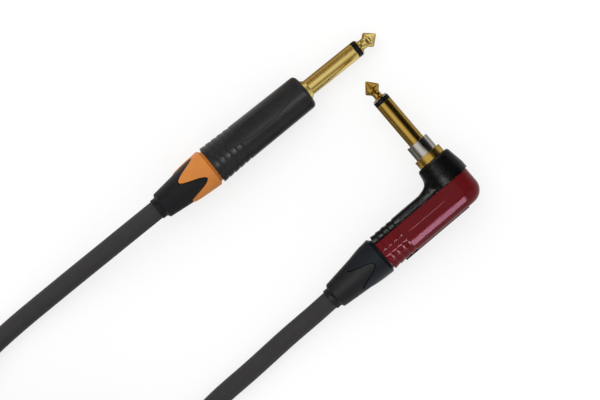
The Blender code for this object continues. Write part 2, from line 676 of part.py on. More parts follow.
def make_straight_plug(parent):
    """Every piece of the straight plug."""
    shell = turned("straight_shell", shell_profile(), SHELL_PLASTIC, parent)
    combine(shell, make_badge_recess(parent), "DIFFERENCE")
    make_straight_sleeve(parent)
    ground_tag = HUB_REAR - SEAT_GAP
    rear_insulator = ground_tag - TAG_THICKNESS - SEAT_GAP
    tip_tag = rear_insulator - REAR_INSULATOR_LENGTH - SEAT_GAP
    rod_rear = tip_tag - TAG_THICKNESS - SEAT_GAP - RIVET_HEIGHT
    make_tip("straight", PLUG_LENGTH, rod_rear, STRAIGHT_TIP_NECK_DIAMETER / 2, GOLD, parent)
    make_insulator("straight", PLUG_LENGTH, HUB_REAR + SEAT_GAP, BLACK_PLASTIC, parent)
    make_tag("straight_ground_tag", SLEEVE_BORE, REAR_INSULATOR_RADIUS, ground_tag, math.pi, TIN, parent)
    make_rear_insulator("straight", rear_insulator, WHITE_PLASTIC, parent)
    make_tag("straight_tip_tag", ROD_RADIUS + FIT / 2, RIVET_RADIUS + 3 * FIT, tip_tag, 0.0, TIN, parent)
    entry = carrier("straight_entry", parent, Matrix.Translation((0, 0, SHELL_REAR)))
    make_cable_entry("straight", STRAIGHT_PETAL_TURN, STRAIGHT_CHUCK_LENGTH, ORANGE_PLASTIC, entry)
    jacket_front = SHELL_REAR + CHUCK_REAR + STRAIGHT_CHUCK_LENGTH
    tag_side = RIVET_RADIUS + 3 * FIT + TAG_REACH / 2
    tag_under = tip_tag - TAG_THICKNESS - SEAT_GAP
    bared = (tag_under - jacket_front) * STRAIGHT_BARED_SHARE
    make_core_insulation("straight", STRAIGHT_CHUCK_LENGTH, bared, WHITE_PLASTIC, entry)
    core_front = jacket_front + SEAT_GAP + bared + SEAT_GAP
    wire = [
        (0.0, 0.0, core_front),
        (0.0, 0.0, core_front + (tag_under - core_front) * 0.25),
        (tag_side * 0.5, 0.0, core_front + (tag_under - core_front) * 0.5),
        (tag_side, 0.0, core_front + (tag_under - core_front) * 0.75),
        (tag_side, 0.0, tag_under),
    ]
    tube("straight_core_wire", wire, CORE_WIRE_DIAMETER / 2, COPPER, parent, 1)
    shield_side = REAR_INSULATOR_RADIUS + TAG_REACH - SHIELD_TAIL_DIAMETER / 2
    shield_rear = jacket_front + SEAT_GAP
    shield_root = CORE_INSULATION_DIAMETER / 2 + SHIELD_TAIL_DIAMETER / 2 + SEAT_GAP
    shield_front = ground_tag - TAG_THICKNESS - SEAT_GAP
    tail = [
        (-shield_root, 0.0, shield_rear),
        (-shield_root, 0.0, shield_rear + (shield_front - shield_rear) * 0.2),
        (-(shield_root + shield_side) / 2, 0.0, shield_rear + (shield_front - shield_rear) * 0.4),
        (-shield_side, 0.0, shield_rear + (shield_front - shield_rear) * 0.6),
        (-shield_side, 0.0, shield_front),
    ]
    tube("straight_shield_tail", tail, SHIELD_TAIL_DIAMETER / 2, COPPER, parent, 1)
    return entry


# ------------------------------------------------------------------ angled plug
# Its frame has X along the handle, from the boot to the corner, Y along the shaft to the tip, and
# Z up, with the origin where the two axes cross.

def rib_offset(x):
    """Rise of the handle's surface over its plain form, at a distance along it."""
    share = (x + HANDLE_LENGTH) / RIB_PITCH
    if share <= 0.0 or share >= RIB_COUNT:
        return 0.0
    inside = share % 1.0
    edge = HOUSING_GROOVE_WIDTH / 2 / RIB_PITCH
    near = min(inside, 1.0 - inside)
    if near < edge / 2:
        return -HOUSING_RIB_GROOVE
    return HOUSING_RIB_RISE * math.sin(math.pi * inside)


def handle_stations():
    """Places along the handle where its section is drawn: four for each rib, then the plain part."""
    groove = HOUSING_GROOVE_WIDTH / 2
    stations = [-HANDLE_LENGTH]
    for k in range(1, RIB_COUNT + 1):
        valley = -HANDLE_LENGTH + k * RIB_PITCH
        stations += [valley - RIB_PITCH / 2, valley - groove, valley, valley + groove]
    return stations + [0.0]


def cover_half_section(x):
    """Half of the cover's section at a station, from the rim to the middle: (half width, height)."""
    rise = rib_offset(x)
    wall = HALF_WIDTH + rise
    half = [
        (wall - COVER_CHAMFER, COVER_TOP),
        (wall, COVER_TOP - COVER_CHAMFER),
        (wall, SMOOTH_STRIP_TOP + SMOOTH_STRIP_FADE),
        (HALF_WIDTH, SMOOTH_STRIP_TOP),
        (HALF_WIDTH, SMOOTH_STRIP_BOTTOM),
        (wall, SMOOTH_STRIP_BOTTOM - SMOOTH_STRIP_FADE),
    ]
    for turn in (0.0, 22.5, 45.0, 67.5, 90.0):
        lean = math.radians(turn)
        half.append((CORNER_CENTRE + (HANDLE_CORNER + rise) * math.cos(lean),
                     -CORNER_CENTRE - (HANDLE_CORNER + rise) * math.sin(lean)))
    half.append((0.0, -HALF_WIDTH - rise))
    return half


def cavity_half_section(x):
    """Half of the cover's hollow, from above the rim to the middle."""
    inner = HALF_WIDTH - HOUSING_WALL
    corner = HANDLE_CORNER - HOUSING_WALL
    half = [(inner, COVER_TOP + HOUSING_WALL)]
    for turn in (0.0, 30.0, 60.0, 90.0):
        lean = math.radians(turn)
        half.append((CORNER_CENTRE + corner * math.cos(lean), -CORNER_CENTRE - corner * math.sin(lean)))
    half.append((0.0, -inner))
    return half


def trough(name, half_section_at, stations, cap_steps, finish, parent):
    """A closed trough along X up to the shaft axis, then turned half round that axis."""
    mesh = bmesh.new()
    rows = []
    for x in stations:
        half = half_section_at(x)
        left = [mesh.verts.new((x, y, w)) for w, y in half[:-1]]
        middle = mesh.verts.new((x, half[-1][1], 0.0))
        right = [mesh.verts.new((x, y, -w)) for w, y in half[:-1]]
        rows.append(left + [middle] + right[::-1])
    for row, following in zip(rows, rows[1:]):
        for i in range(len(row) - 1):
            mesh.faces.new((row[i], row[i + 1], following[i + 1], following[i]))
    half = half_section_at(stations[-1])
    size = len(half) - 1
    pole = rows[-1][size]
    cap = [rows[-1][:size]]
    for k in range(1, cap_steps):
        angle = math.pi / 2 - math.pi * k / cap_steps
        cap.append([mesh.verts.new((w * math.cos(angle), y, w * math.sin(angle))) for w, y in half[:-1]])
    cap.append(rows[-1][:size:-1])
    for row, following in zip(cap, cap[1:]):
        for i in range(size - 1):
            mesh.faces.new((row[i], row[i + 1], following[i + 1], following[i]))
        mesh.faces.new((row[-1], pole, following[-1]))
    rim = [row[0] for row in rows] + [row[0] for row in cap[1:-1]] + [row[-1] for row in rows[::-1]]
    mesh.faces.new(rim)
    mesh.faces.new(rows[0])
    return add_piece(name, closed_mesh(name, mesh), finish, parent)


def make_cover(parent):
    """The lower shell of the housing, hollow, with a seat for the spine strip."""
    cover = trough("angled_cover", cover_half_section, handle_stations(), 18, RED_GLOSS, parent)
    hollow = trough("cover_hollow", cavity_half_section, [-HANDLE_LENGTH - HOUSING_WALL, 0.0], 12,
                    None, parent)
    combine(cover, hollow, "DIFFERENCE")
    seat = block("strip_seat",
                 (-STRIP_FRONT - STRIP_LENGTH - FIT, -HALF_WIDTH - 2 * STRIP_INLAY,
                  -STRIP_WIDTH / 2 - FIT),
                 (-STRIP_FRONT + FIT, -HALF_WIDTH + STRIP_INLAY, STRIP_WIDTH / 2 + FIT), None, parent)
    combine(cover, seat, "DIFFERENCE")
    strip = block("angled_spine_strip",
                  (-STRIP_FRONT - STRIP_LENGTH, -HALF_WIDTH - STRIP_PROUD, -STRIP_WIDTH / 2),
                  (-STRIP_FRONT, -HALF_WIDTH + STRIP_INLAY - SEAT_GAP, STRIP_WIDTH / 2),
                  BLACK_PLASTIC, parent)
    return cover, strip


def body_half_section(x):
    """Half of the body's handle section, from its lower edge to the middle of its top."""
    radius = HANDLE_CORNER + rib_offset(x)
    low = math.asin((BODY_BOTTOM - CORNER_CENTRE) / radius)
    half = []
    for k in range(5):
        lean = low + (math.pi / 2 - low) * k / 4
        half.append((CORNER_CENTRE + radius * math.cos(lean), CORNER_CENTRE + radius * math.sin(lean)))
    return half


def make_body_handle(parent):
    """The upper half of the handle, as a ribbed bar."""
    mesh = bmesh.new()
    rows = []
    for x in handle_stations():
        half = body_half_section(x)
        left = [mesh.verts.new((x, y, w)) for w, y in half]
        right = [mesh.verts.new((x, y, -w)) for w, y in half]
        rows.append(left + right[::-1])
    for row, following in zip(rows, rows[1:]):
        for i in range(len(row)):
            mesh.faces.new((row[i - 1], row[i], following[i], following[i - 1]))
    mesh.faces.new(rows[0])
    mesh.faces.new(rows[-1])
    return add_piece("angled_body", closed_mesh("angled_body", mesh), BODY_PLASTIC, parent)


def post_radius(height):
    """The post's radius away from the flare."""
    plain = POST_RADIUS - POST_TAPER * max(0.0, height - POST_SHOULDER)
    edge = max(0.0, height - (POST_HEIGHT - POST_EDGE))
    return plain - POST_EDGE + math.sqrt(max(0.0, POST_EDGE**2 - edge**2))


def handle_top(across):
    """Height of the handle's plain top at a distance across it."""
    over = max(0.0, abs(across) - CORNER_CENTRE)
    return max(BODY_BOTTOM, CORNER_CENTRE + math.sqrt(max(0.0, HANDLE_CORNER**2 - over**2)))


def make_post(parent):
    """The round post under the collar, with a concave flare that lands on the handle."""
    mesh = bmesh.new()
    top = POST_HEIGHT - POST_EDGE
    heights = [BODY_BOTTOM + (HALF_WIDTH - BODY_BOTTOM) * k / 3 for k in range(4)]
    heights += [HALF_WIDTH + FLARE_FALL * k for k in (0.35, 0.8, 1.4, 2.3, 4.0)]
    heights += [top, top + 0.5 * POST_EDGE, top + 0.87 * POST_EDGE, POST_HEIGHT]
    rings = []
    for height in heights:
        ring = []
        for k in range(OUTER_SIDES):
            angle = math.tau * k / OUTER_SIDES
            reach = FLARE_REACH * max(0.0, -math.cos(angle)) ** 4
            foot = handle_top((POST_RADIUS + reach) * math.sin(angle))
            radius = post_radius(height) + reach * math.exp(-max(0.0, height - foot) / FLARE_FALL)
            ring.append(mesh.verts.new((radius * math.cos(angle), height, radius * math.sin(angle))))
        rings.append(ring)
    for ring, following in zip(rings, rings[1:]):
        for i in range(OUTER_SIDES):
            mesh.faces.new((ring[i - 1], ring[i], following[i], following[i - 1]))
    mesh.faces.new(rings[0])
    mesh.faces.new(rings[-1])
    return add_piece("post", closed_mesh("post", mesh), None, parent)


def make_body(parent, shaft):
    """The housing's upper half: handle, post, rails, and the bores along both axes."""
    body = make_body_handle(parent)
    combine(body, make_post(parent), "UNION")
    rail_outer = HALF_WIDTH - HOUSING_WALL - FIT
    for side in (-1, 1):
        across = sorted((side * rail_outer, side * (rail_outer - RAIL_THICKNESS)))
        rail = block(f"rail_{side}", (-BOARD_FRONT - BOARD_LENGTH, BODY_BOTTOM - RAIL_DEPTH, across[0]),
                     (-BOARD_FRONT, BODY_BOTTOM + RAIL_DEPTH / 2, across[1]), None, parent)
        combine(body, rail, "UNION")
    channel_end = -HANDLE_LENGTH + CHUCK_REAR + ANGLED_CHUCK_LENGTH + SEAT_GAP
    channel_radius = HALF_WIDTH - HOUSING_WALL
    channel = turned("channel", [(0.0, -HANDLE_LENGTH - HOUSING_WALL),
                                 (channel_radius, -HANDLE_LENGTH - HOUSING_WALL),
                                 (channel_radius, channel_end), (0.0, channel_end)],
                     None, parent, SHAFT_SIDES)
    channel.rotation_euler = (0.0, math.pi / 2, 0.0)
    combine(body, channel, "DIFFERENCE")
    collar_seat = POST_HEIGHT - COLLAR_NECK_LENGTH - SEAT_GAP
    well = MUTE_RADIUS + 2 * FIT
    bore = turned("shaft_bore", [
        (0.0, POST_HEIGHT + POST_EDGE),
        (COLLAR_NECK_RADIUS + FIT, POST_HEIGHT + POST_EDGE),
        (COLLAR_NECK_RADIUS + FIT, collar_seat),
        (well, collar_seat),
        (well, SPRING_SEAT),
        (PLUG_RADIUS + FIT, SPRING_SEAT),
        (PLUG_RADIUS + FIT, COVER_TOP - POST_EDGE),
        (0.0, COVER_TOP - POST_EDGE),
    ], None, shaft, SHAFT_SIDES)
    combine(body, bore, "DIFFERENCE")
    pocket_half = REED_DIAMETER / 2 + 5 * FIT
    pocket = block("reed_pocket",
                   (-BOARD_FRONT - BOARD_LENGTH, BOARD_TOP, -pocket_half),
                   (-BOARD_FRONT, BOARD_TOP + REED_DIAMETER + 6 * FIT, pocket_half), None, parent)
    combine(body, pocket, "DIFFERENCE")
    return body


def make_nut(shaft):
    """The hexagonal nut that draws the tube's flange down on the body."""
    top = BODY_BOTTOM - SEAT_GAP - TAG_THICKNESS - SEAT_GAP
    bore = PLUG_RADIUS + FIT / 2
    mesh = bmesh.new()
    bmesh.ops.create_cone(mesh, cap_ends=True, segments=6, radius1=NUT_ACROSS_CORNERS / 2,
                          radius2=NUT_ACROSS_CORNERS / 2, depth=NUT_THICKNESS)
    bmesh.ops.translate(mesh, vec=(0.0, 0.0, top - NUT_THICKNESS / 2), verts=mesh.verts)
    nut = add_piece("angled_nut", closed_mesh("angled_nut", mesh), TIN, shaft)
    hole = turned("nut_hole", [(0.0, top + NUT_THICKNESS), (bore, top + NUT_THICKNESS),
                               (bore, top - 2 * NUT_THICKNESS), (0.0, top - 2 * NUT_THICKNESS)],
                  None, shaft, SHAFT_SIDES)
    combine(nut, hole, "DIFFERENCE")
    return top - NUT_THICKNESS


def make_mute_sleeve(shaft):
    """The sleeve that the socket pushes back, with the flange that keeps it in the collar."""
    front = ANGLED_TIP_END - PLUG_LENGTH + MUTE_TRAVEL + MUTE_STAND
    rear = front - MUTE_SLEEVE_LENGTH
    flange = COLLAR_FRONT - COLLAR_LIP - SEAT_GAP
    profile = [
        (MUTE_BORE, front),
        (MUTE_RADIUS - FIT, front),
        (MUTE_RADIUS, front - FIT),
        (MUTE_RADIUS, flange),
        (MUTE_FLANGE_RADIUS, flange),
        (MUTE_FLANGE_RADIUS, flange - MUTE_FLANGE_LENGTH),
        (MUTE_RADIUS, flange - MUTE_FLANGE_LENGTH),
        (MUTE_RADIUS, rear),
        (MUTE_BORE, rear),
    ]
    turned("mute_sleeve", profile, SILVER, shaft, SHAFT_SIDES)
    magnet_front = rear - FIT / 2
    magnet_rear = magnet_front - MAGNET_LENGTH
    turned("mute_magnet", [
        (MUTE_BORE, magnet_front),
        (MUTE_RADIUS - FIT, magnet_front),
        (MUTE_RADIUS - FIT, magnet_rear),
        (MUTE_BORE, magnet_rear),
    ], MAGNET, shaft, SHAFT_SIDES)
    return magnet_rear


def make_collar(shaft):
    """The collar that guides the mute sleeve, with its neck in the post."""
    lip_rear = COLLAR_FRONT - COLLAR_LIP
    neck_rear = POST_HEIGHT - COLLAR_NECK_LENGTH
    turned("angled_collar", [
        (COLLAR_BORE, COLLAR_FRONT),
        (COLLAR_RADIUS - FIT, COLLAR_FRONT),
        (COLLAR_RADIUS, COLLAR_FRONT - FIT),
        (COLLAR_RADIUS, POST_HEIGHT + FIT),
        (COLLAR_NECK_RADIUS, POST_HEIGHT + FIT),
        (COLLAR_NECK_RADIUS, neck_rear),
        (COLLAR_INNER_RADIUS, neck_rear),
        (COLLAR_INNER_RADIUS, lip_rear),
        (COLLAR_BORE, lip_rear),
    ], GOLD_DARK, shaft, SHAFT_SIDES)


def make_spring(magnet_rear, shaft):
    """The spring that returns the mute sleeve, from the tube's flange to the magnet."""
    low = SPRING_SEAT + SEAT_GAP + TUBE_FLANGE_THICKNESS + SPRING_WIRE / 2 + FIT
    high = magnet_rear - SPRING_WIRE / 2 - FIT
    radius = (MUTE_BORE + MUTE_RADIUS) / 2
    steps = 10 * SPRING_TURNS
    points = []
    for k in range(steps + 1):
        angle = math.tau * SPRING_TURNS * k / steps
        points.append((radius * math.cos(angle), radius * math.sin(angle), low + (high - low) * k / steps))
    tube("mute_spring", points, SPRING_WIRE / 2, STEEL, shaft, 1)


def make_angled_tube(rear, shaft):
    """The long sleeve contact, with the flange that the spring stands on."""
    front = ANGLED_TIP_END - TIP_LENGTH - INSULATOR_WIDTH
    flange = MUTE_RADIUS - FIT
    low = SPRING_SEAT + SEAT_GAP
    turned("angled_sleeve", [
        (SLEEVE_BORE, front),
        (PLUG_RADIUS, front),
        (PLUG_RADIUS, low + TUBE_FLANGE_THICKNESS),
        (flange, low + TUBE_FLANGE_THICKNESS),
        (flange, low),
        (PLUG_RADIUS, low),
        (PLUG_RADIUS, rear),
        (SLEEVE_BORE, rear),
    ], GOLD_DARK, shaft, SHAFT_SIDES)


def make_switch(parent):
    """The board between the rails, with the reed switch on it."""
    half = HALF_WIDTH - HOUSING_WALL - FIT - RAIL_THICKNESS - SEAT_GAP
    block("switch_board", (-BOARD_FRONT - BOARD_LENGTH + FIT, BOARD_TOP - BOARD_THICKNESS, -half),
          (-BOARD_FRONT - FIT, BOARD_TOP, half), BOARD_GREEN, parent)
    glass, lead = REED_DIAMETER / 2, REED_LEAD_DIAMETER / 2
    half_glass, half_lead = REED_GLASS_LENGTH / 2, BOARD_LENGTH / 2 - 10 * FIT
    reed = turned("reed_switch", [
        (0.0, -half_lead),
        (lead, -half_lead),
        (lead, -half_glass),
        (glass * 0.7, -half_glass + glass * 0.3),
        (glass, -half_glass + glass),
        (glass, half_glass - glass),
        (glass * 0.7, half_glass - glass * 0.3),
        (lead, half_glass),
        (lead, half_lead),
        (0.0, half_lead),
    ], GLASS_GREEN, parent, FINE_SIDES)
    reed.location = (-BOARD_FRONT - BOARD_LENGTH / 2, BOARD_TOP + SEAT_GAP + glass, 0.0)
    reed.rotation_euler = (0.0, math.pi / 2, 0.0)


def make_angled_wires(tag_under, ground_under, parent):
    """Core wire and shield tail, from the jacket's end to the tags on the shaft."""
    jacket_front = -HANDLE_LENGTH + CHUCK_REAR + ANGLED_CHUCK_LENGTH
    core_front = jacket_front + SEAT_GAP + ANGLED_BARED_LENGTH + 2 * SEAT_GAP
    tag_at = -(RIVET_RADIUS + 3 * FIT + TAG_REACH / 2)
    wire = [
        (core_front, 0.0, 0.0),
        (core_front + 0.0015, -0.0004, 0.0),
        (core_front + 0.0040, tag_under - 0.0010, 0.0),
        (tag_at - 0.0014, tag_under - 0.0017, 0.0),
        (tag_at - 0.0003, tag_under - 0.0014, 0.0),
        (tag_at, tag_under, 0.0),
    ]
    tube("angled_core_wire", wire, CORE_WIRE_DIAMETER / 2, COPPER, parent, 1)
    root = CORE_INSULATION_DIAMETER / 2 + SHIELD_TAIL_DIAMETER / 2 + SEAT_GAP
    end = -(NUT_ACROSS_CORNERS / 2 + SHIELD_TAIL_DIAMETER / 2 + SEAT_GAP)
    under_board = BOARD_TOP - BOARD_THICKNESS - SHIELD_TAIL_DIAMETER / 2 - SEAT_GAP
    tail = [
        (jacket_front + SEAT_GAP, 0.0, root),
        (jacket_front + 0.0030, 0.0, root),
        (-BOARD_FRONT - BOARD_LENGTH / 2, under_board * 0.7, root),
        (-BOARD_FRONT, under_board * 0.7, root * 0.7),
        (end, under_board, root * 0.3),
        (end, ground_under, 0.0),
    ]
    tube("angled_shield_tail", tail, SHIELD_TAIL_DIAMETER / 2, COPPER, parent, 1)


def make_angled_plug(parent):
    """Every piece of the angled plug."""
    shaft = carrier("angled_shaft", parent, Matrix.Rotation(-math.pi / 2, 4, "X"))
    make_body(parent, shaft)
    make_cover(parent)
    make_collar(shaft)
    make_spring(make_mute_sleeve(shaft), shaft)
    ground_tag = BODY_BOTTOM - SEAT_GAP
    make_tag("angled_ground_tag", PLUG_RADIUS + FIT / 2, NUT_ACROSS_CORNERS / 2, ground_tag, math.pi,
             TIN, shaft)
    nut_rear = make_nut(shaft)
    tube_rear = nut_rear - SEAT_GAP
    make_angled_tube(tube_rear, shaft)
    rear_insulator = tube_rear - SEAT_GAP
    tip_tag = rear_insulator - REAR_INSULATOR_LENGTH - SEAT_GAP
    rod_rear = tip_tag - TAG_THICKNESS - SEAT_GAP - RIVET_HEIGHT
    make_tip("angled", ANGLED_TIP_END, rod_rear, ANGLED_TIP_NECK_DIAMETER / 2, GOLD_DARK, shaft)
    make_insulator("angled", ANGLED_TIP_END, tube_rear + SEAT_GAP, BLACK_PLASTIC, shaft)
    make_rear_insulator("angled", rear_insulator, WHITE_PLASTIC, shaft)
    make_tag("angled_tip_tag", ROD_RADIUS + FIT / 2, RIVET_RADIUS + 3 * FIT, tip_tag, math.pi, TIN, shaft)
    make_switch(parent)
    make_angled_wires(tip_tag - TAG_THICKNESS - SEAT_GAP,
                      ground_tag - TAG_THICKNESS - SEAT_GAP, parent)
    face = (Matrix.Translation((-HANDLE_LENGTH - BOOT_SETBACK, -BOOT_DROP, 0.0))
            @ Matrix.Rotation(BOOT_LEAN, 4, "Z")
            @ Matrix.Rotation(math.pi / 2, 4, "Y") @ Matrix.Rotation(math.pi, 4, "Z"))
    entry = carrier("angled_entry", parent, face)
    make_cable_entry("angled", ANGLED_PETAL_TURN, ANGLED_CHUCK_LENGTH, BUSHING_BLACK, entry)
    make_core_insulation("angled", ANGLED_CHUCK_LENGTH, ANGLED_BARED_LENGTH, WHITE_PLASTIC, entry)
    return entry


# ------------------------------------------------------------------ lead

def coil_points():
    """The coil's loops: they spiral in and out by turns and drop a layer where they reverse."""
    turns_per_layer = COIL_TURNS / COIL_LAYERS
    steps = round(COIL_TURNS * LOOP_POINTS)
    points = []
    for k in range(steps + 1):
        turn = COIL_TURNS * k / steps
        layer = min(int(turn / turns_per_layer), COIL_LAYERS - 1)
        along = turn - layer * turns_per_layer
        out_of_inner = turns_per_layer - along if layer % 2 == 0 else along
        radius = COIL_INNER_RADIUS + COIL_PITCH * out_of_inner
        drop = 0.0
        for reversal in range(1, COIL_LAYERS):
            share = (turn - reversal * turns_per_layer) / 0.5 + 0.5
            share = min(max(share, 0.0), 1.0)
            drop += share * share * (3 - 2 * share)
        angle = COIL_START + math.tau * turn
        points.append(Vector((COIL_CENTRE[0] + radius * math.cos(angle),
                              COIL_CENTRE[1] + radius * math.sin(angle),
                              CABLE_RADIUS + COIL_PITCH * (COIL_LAYERS - 1 - drop))))
    for end, inner in ((0, 1), (-1, -2)):
        away = (points[end] - points[inner]).normalized()
        straight = points[end] + Vector((away.x, away.y, 0.0)).normalized() * CABLE_DIAMETER
        points.insert(0 if end == 0 else len(points), straight)
    return points


def least_gap(points, diameter):
    """The least distance between the surfaces of stretches that aren't neighbours on a chain."""
    least = math.inf
    skip = 6
    for i in range(len(points) - 1):
        middle = (points[i] + points[i + 1]) / 2
        for j in range(i + skip, len(points) - 1):
            start, end = points[j], points[j + 1]
            run = end - start
            share = max(0.0, min(1.0, (middle - start).dot(run) / run.length_squared))
            least = min(least, (middle - (start + run * share)).length)
    return least - diameter


def route_from(exit_matrix, points, coil_end):
    """A run from a boot's end to the coil: straight out of the boot, then through its own points."""
    start = exit_matrix @ Vector((0.0, 0.0, BOOT_END - CORD_GAP))
    straight = exit_matrix @ Vector((0.0, 0.0, BOOT_END - CORD_GAP - CABLE_DIAMETER))
    inner, outer = coil_end
    away = (outer - inner).normalized()
    finish = outer + away * CORD_GAP
    return [start, straight] + [Vector(p) for p in points] + [finish + away * CABLE_DIAMETER, finish]


# Places on the two runs, between the boots and the coil.
STRAIGHT_RUN = [
    (-0.0765, -0.0295, 0.0097),
    (-0.0945, -0.0440, 0.0056),
    (-0.1125, -0.0590, 0.0038),
    (-0.1234, -0.0697, 0.0050),
    (-0.1324, -0.0829, 0.0106),
    (-0.1388, -0.0976, 0.0184),
    (-0.1423, -0.1132, 0.0248),
]
ANGLED_RUN = [
    (-0.0115, -0.0614, 0.0046),
    (-0.0250, -0.0735, 0.0037),
    (-0.0372, -0.0846, 0.0037),
    (-0.0431, -0.0920, 0.0037),
    (-0.0463, -0.0997, 0.0037),
    (-0.0474, -0.1076, 0.0037),
]
RUN_SPACING = 2.5 * CABLE_DIAMETER


def make_lead(straight_entry, angled_entry):
    """The coil and the two runs that join it to the boots."""
    bpy.context.view_layer.update()
    points = coil_points()
    gap = least_gap(points, CABLE_DIAMETER)
    coil_length = sum((b - a).length for a, b in zip(points, points[1:]))
    tube("cable_coil", points, CABLE_RADIUS, JACKET, None, 1)
    length = coil_length
    for name, entry, route, end in (
        ("cable_straight_run", straight_entry, STRAIGHT_RUN, (points[1], points[0])),
        ("cable_angled_run", angled_entry, ANGLED_RUN, (points[-2], points[-1])),
    ):
        run = smooth_route(route_from(entry.matrix_world, route, end), RUN_SPACING)
        length += sum((b - a).length for a, b in zip(run, run[1:]))
        tube(name, run, CABLE_RADIUS, JACKET, None, 4)
    print(f"coil: least gap between loops {gap * 1000:.2f} mm, length {coil_length:.3f} m")
    print(f"lead: length {length:.3f} m")


# ------------------------------------------------------------------ placing

def straight_placement():
    """The straight plug's frame: it lies on the shell's front edge, tip down by its dip."""
    dip = STRAIGHT_DIP
    lift = max(r * math.cos(dip) + z * math.sin(dip) for r, z in shell_profile())
    return (Matrix.Translation((*STRAIGHT_SHOULDER_AT, lift))
            @ Matrix.Rotation(STRAIGHT_HEADING, 4, "Z")
            @ Matrix.Rotation(math.pi / 2 + dip, 4, "Y") @ Matrix.Rotation(math.pi, 4, "Z"))


def angled_placement():
    """The angled plug's frame: it lies on the bushing's edge, corner up by its rise."""
    rise = ANGLED_RISE
    edge = -HANDLE_LENGTH + BUSHING_FRONT - BUSHING_EDGE
    lift = BUSHING_RADIUS * math.cos(rise) - edge * math.sin(rise)
    return (Matrix.Translation((*ANGLED_CORNER_AT, lift)) @ Matrix.Rotation(ANGLED_HEADING, 4, "Z")
            @ Matrix.Rotation(-rise, 4, "Y"))


for old in list(bpy.data.objects):
    bpy.data.objects.remove(old)

straight_frame = carrier("straight_plug", None, straight_placement())
angled_frame = carrier("angled_plug", None, angled_placement())
make_lead(make_straight_plug(straight_frame), make_angled_plug(angled_frame))
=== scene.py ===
"""Finished look of the instrument cable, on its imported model.

Lengths are in metres and places are in the model's frame, unless a name says otherwise.
"""
from math import asin, ceil, cos, exp, hypot, pi, radians, sin, sqrt, tan, tau

import bmesh
import bpy
from mathutils import Matrix, Vector


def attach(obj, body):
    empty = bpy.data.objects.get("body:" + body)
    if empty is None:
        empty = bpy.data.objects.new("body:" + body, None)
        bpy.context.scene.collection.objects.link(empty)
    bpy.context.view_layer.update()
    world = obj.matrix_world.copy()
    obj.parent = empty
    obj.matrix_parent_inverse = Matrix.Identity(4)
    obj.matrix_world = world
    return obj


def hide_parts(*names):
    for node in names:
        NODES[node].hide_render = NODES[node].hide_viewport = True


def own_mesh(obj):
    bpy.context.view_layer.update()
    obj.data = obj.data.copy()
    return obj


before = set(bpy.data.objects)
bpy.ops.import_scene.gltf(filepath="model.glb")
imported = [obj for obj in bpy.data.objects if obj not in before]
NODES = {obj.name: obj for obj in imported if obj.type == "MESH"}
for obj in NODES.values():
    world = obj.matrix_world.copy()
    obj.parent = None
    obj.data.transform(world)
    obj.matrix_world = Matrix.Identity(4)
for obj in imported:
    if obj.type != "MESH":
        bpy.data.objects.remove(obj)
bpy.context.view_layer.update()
ROOT, MUTE = "lead", "mute"

# ---- sizes of the real pieces
CABLE_RADIUS = 0.00365
DIAMETER = 2 * CABLE_RADIUS
JACKET_BORE = 0.00375
PLUG_RADIUS = 0.003175
PLUG_LENGTH = 0.0320
TIP_LENGTH = 0.0082
INSULATOR_WIDTH = 0.00184
SLEEVE_BORE = 0.002375
ROD_RADIUS = 0.001175
CAVITY_RADIUS = 0.00605
SHELL_REAR = -0.0455
HALF_WIDTH = 0.00745
HANDLE_LENGTH = 0.03585
# Gaps: a sliding fit, two faces that meet, and a seam that no light passes.
FIT = 0.0001
SEAT_GAP = 0.0002
SEAM = 0.00001


# ---- where the plugs lie


def turned(degrees, axis):
    """A turn about one axis."""
    return Matrix.Rotation(radians(degrees), 4, axis)


# The straight plug's Z runs to its tip, with z = 0 at the sleeve's shoulder, and its X points up.
STRAIGHT = (Matrix.Translation((-0.00239, 0.03032, 0.0067539))
            @ turned(38.91, "Z") @ turned(93.5, "Y") @ turned(180.0, "Z"))
# The angled plug's X runs along its handle to the corner, its Y along the shaft to the tip.
ANGLED = (Matrix.Translation((0.05234, -0.00701, 0.0099263))
          @ turned(40.4, "Z") @ turned(-3.5, "Y"))
# The shaft's Z runs to the angled plug's tip.
SHAFT = ANGLED @ turned(-90.0, "X")
# Both cable entries have Z into the housing, with z = 0 at its rear face, and X up.
STRAIGHT_ENTRY = STRAIGHT @ Matrix.Translation((0.0, 0.0, SHELL_REAR))
ANGLED_ENTRY = (ANGLED @ Matrix.Translation((-HANDLE_LENGTH - FIT, -FIT, 0.0))
                @ turned(1.5, "Z") @ turned(90.0, "Y") @ turned(180.0, "Z"))

# ---- mesh helpers
CORNER_SHARE = 0.42  # the most of an edge that one rounded corner takes
SUPPORT = 0.00004  # from an edge's ends to the points that keep its face flat
SHARP = radians(40.0)
SHARP_CUT = radians(30.0)


def smooth_step(value):
    """0 below 0, 1 above 1, and an even slope in between."""
    value = min(1.0, max(0.0, value))
    return value * value * (3 - 2 * value)


def spaced(first, last, steps):
    """Values from first to last, evenly spaced."""
    return [first + (last - first) * k / steps for k in range(steps + 1)]


def arc(r, z, radius, first, last, steps):
    """Points of an arc in a section: 0 degrees points outward and 90 along +Z."""
    turns = [radians(t) for t in spaced(first, last, steps)]
    return [(r + radius * cos(t), z + radius * sin(t)) for t in turns]


def faces(*levels):
    """A section from its flat faces: each has a height, and the radii of its two edges."""
    return [(r, z) for z, *edges in levels for r in edges]


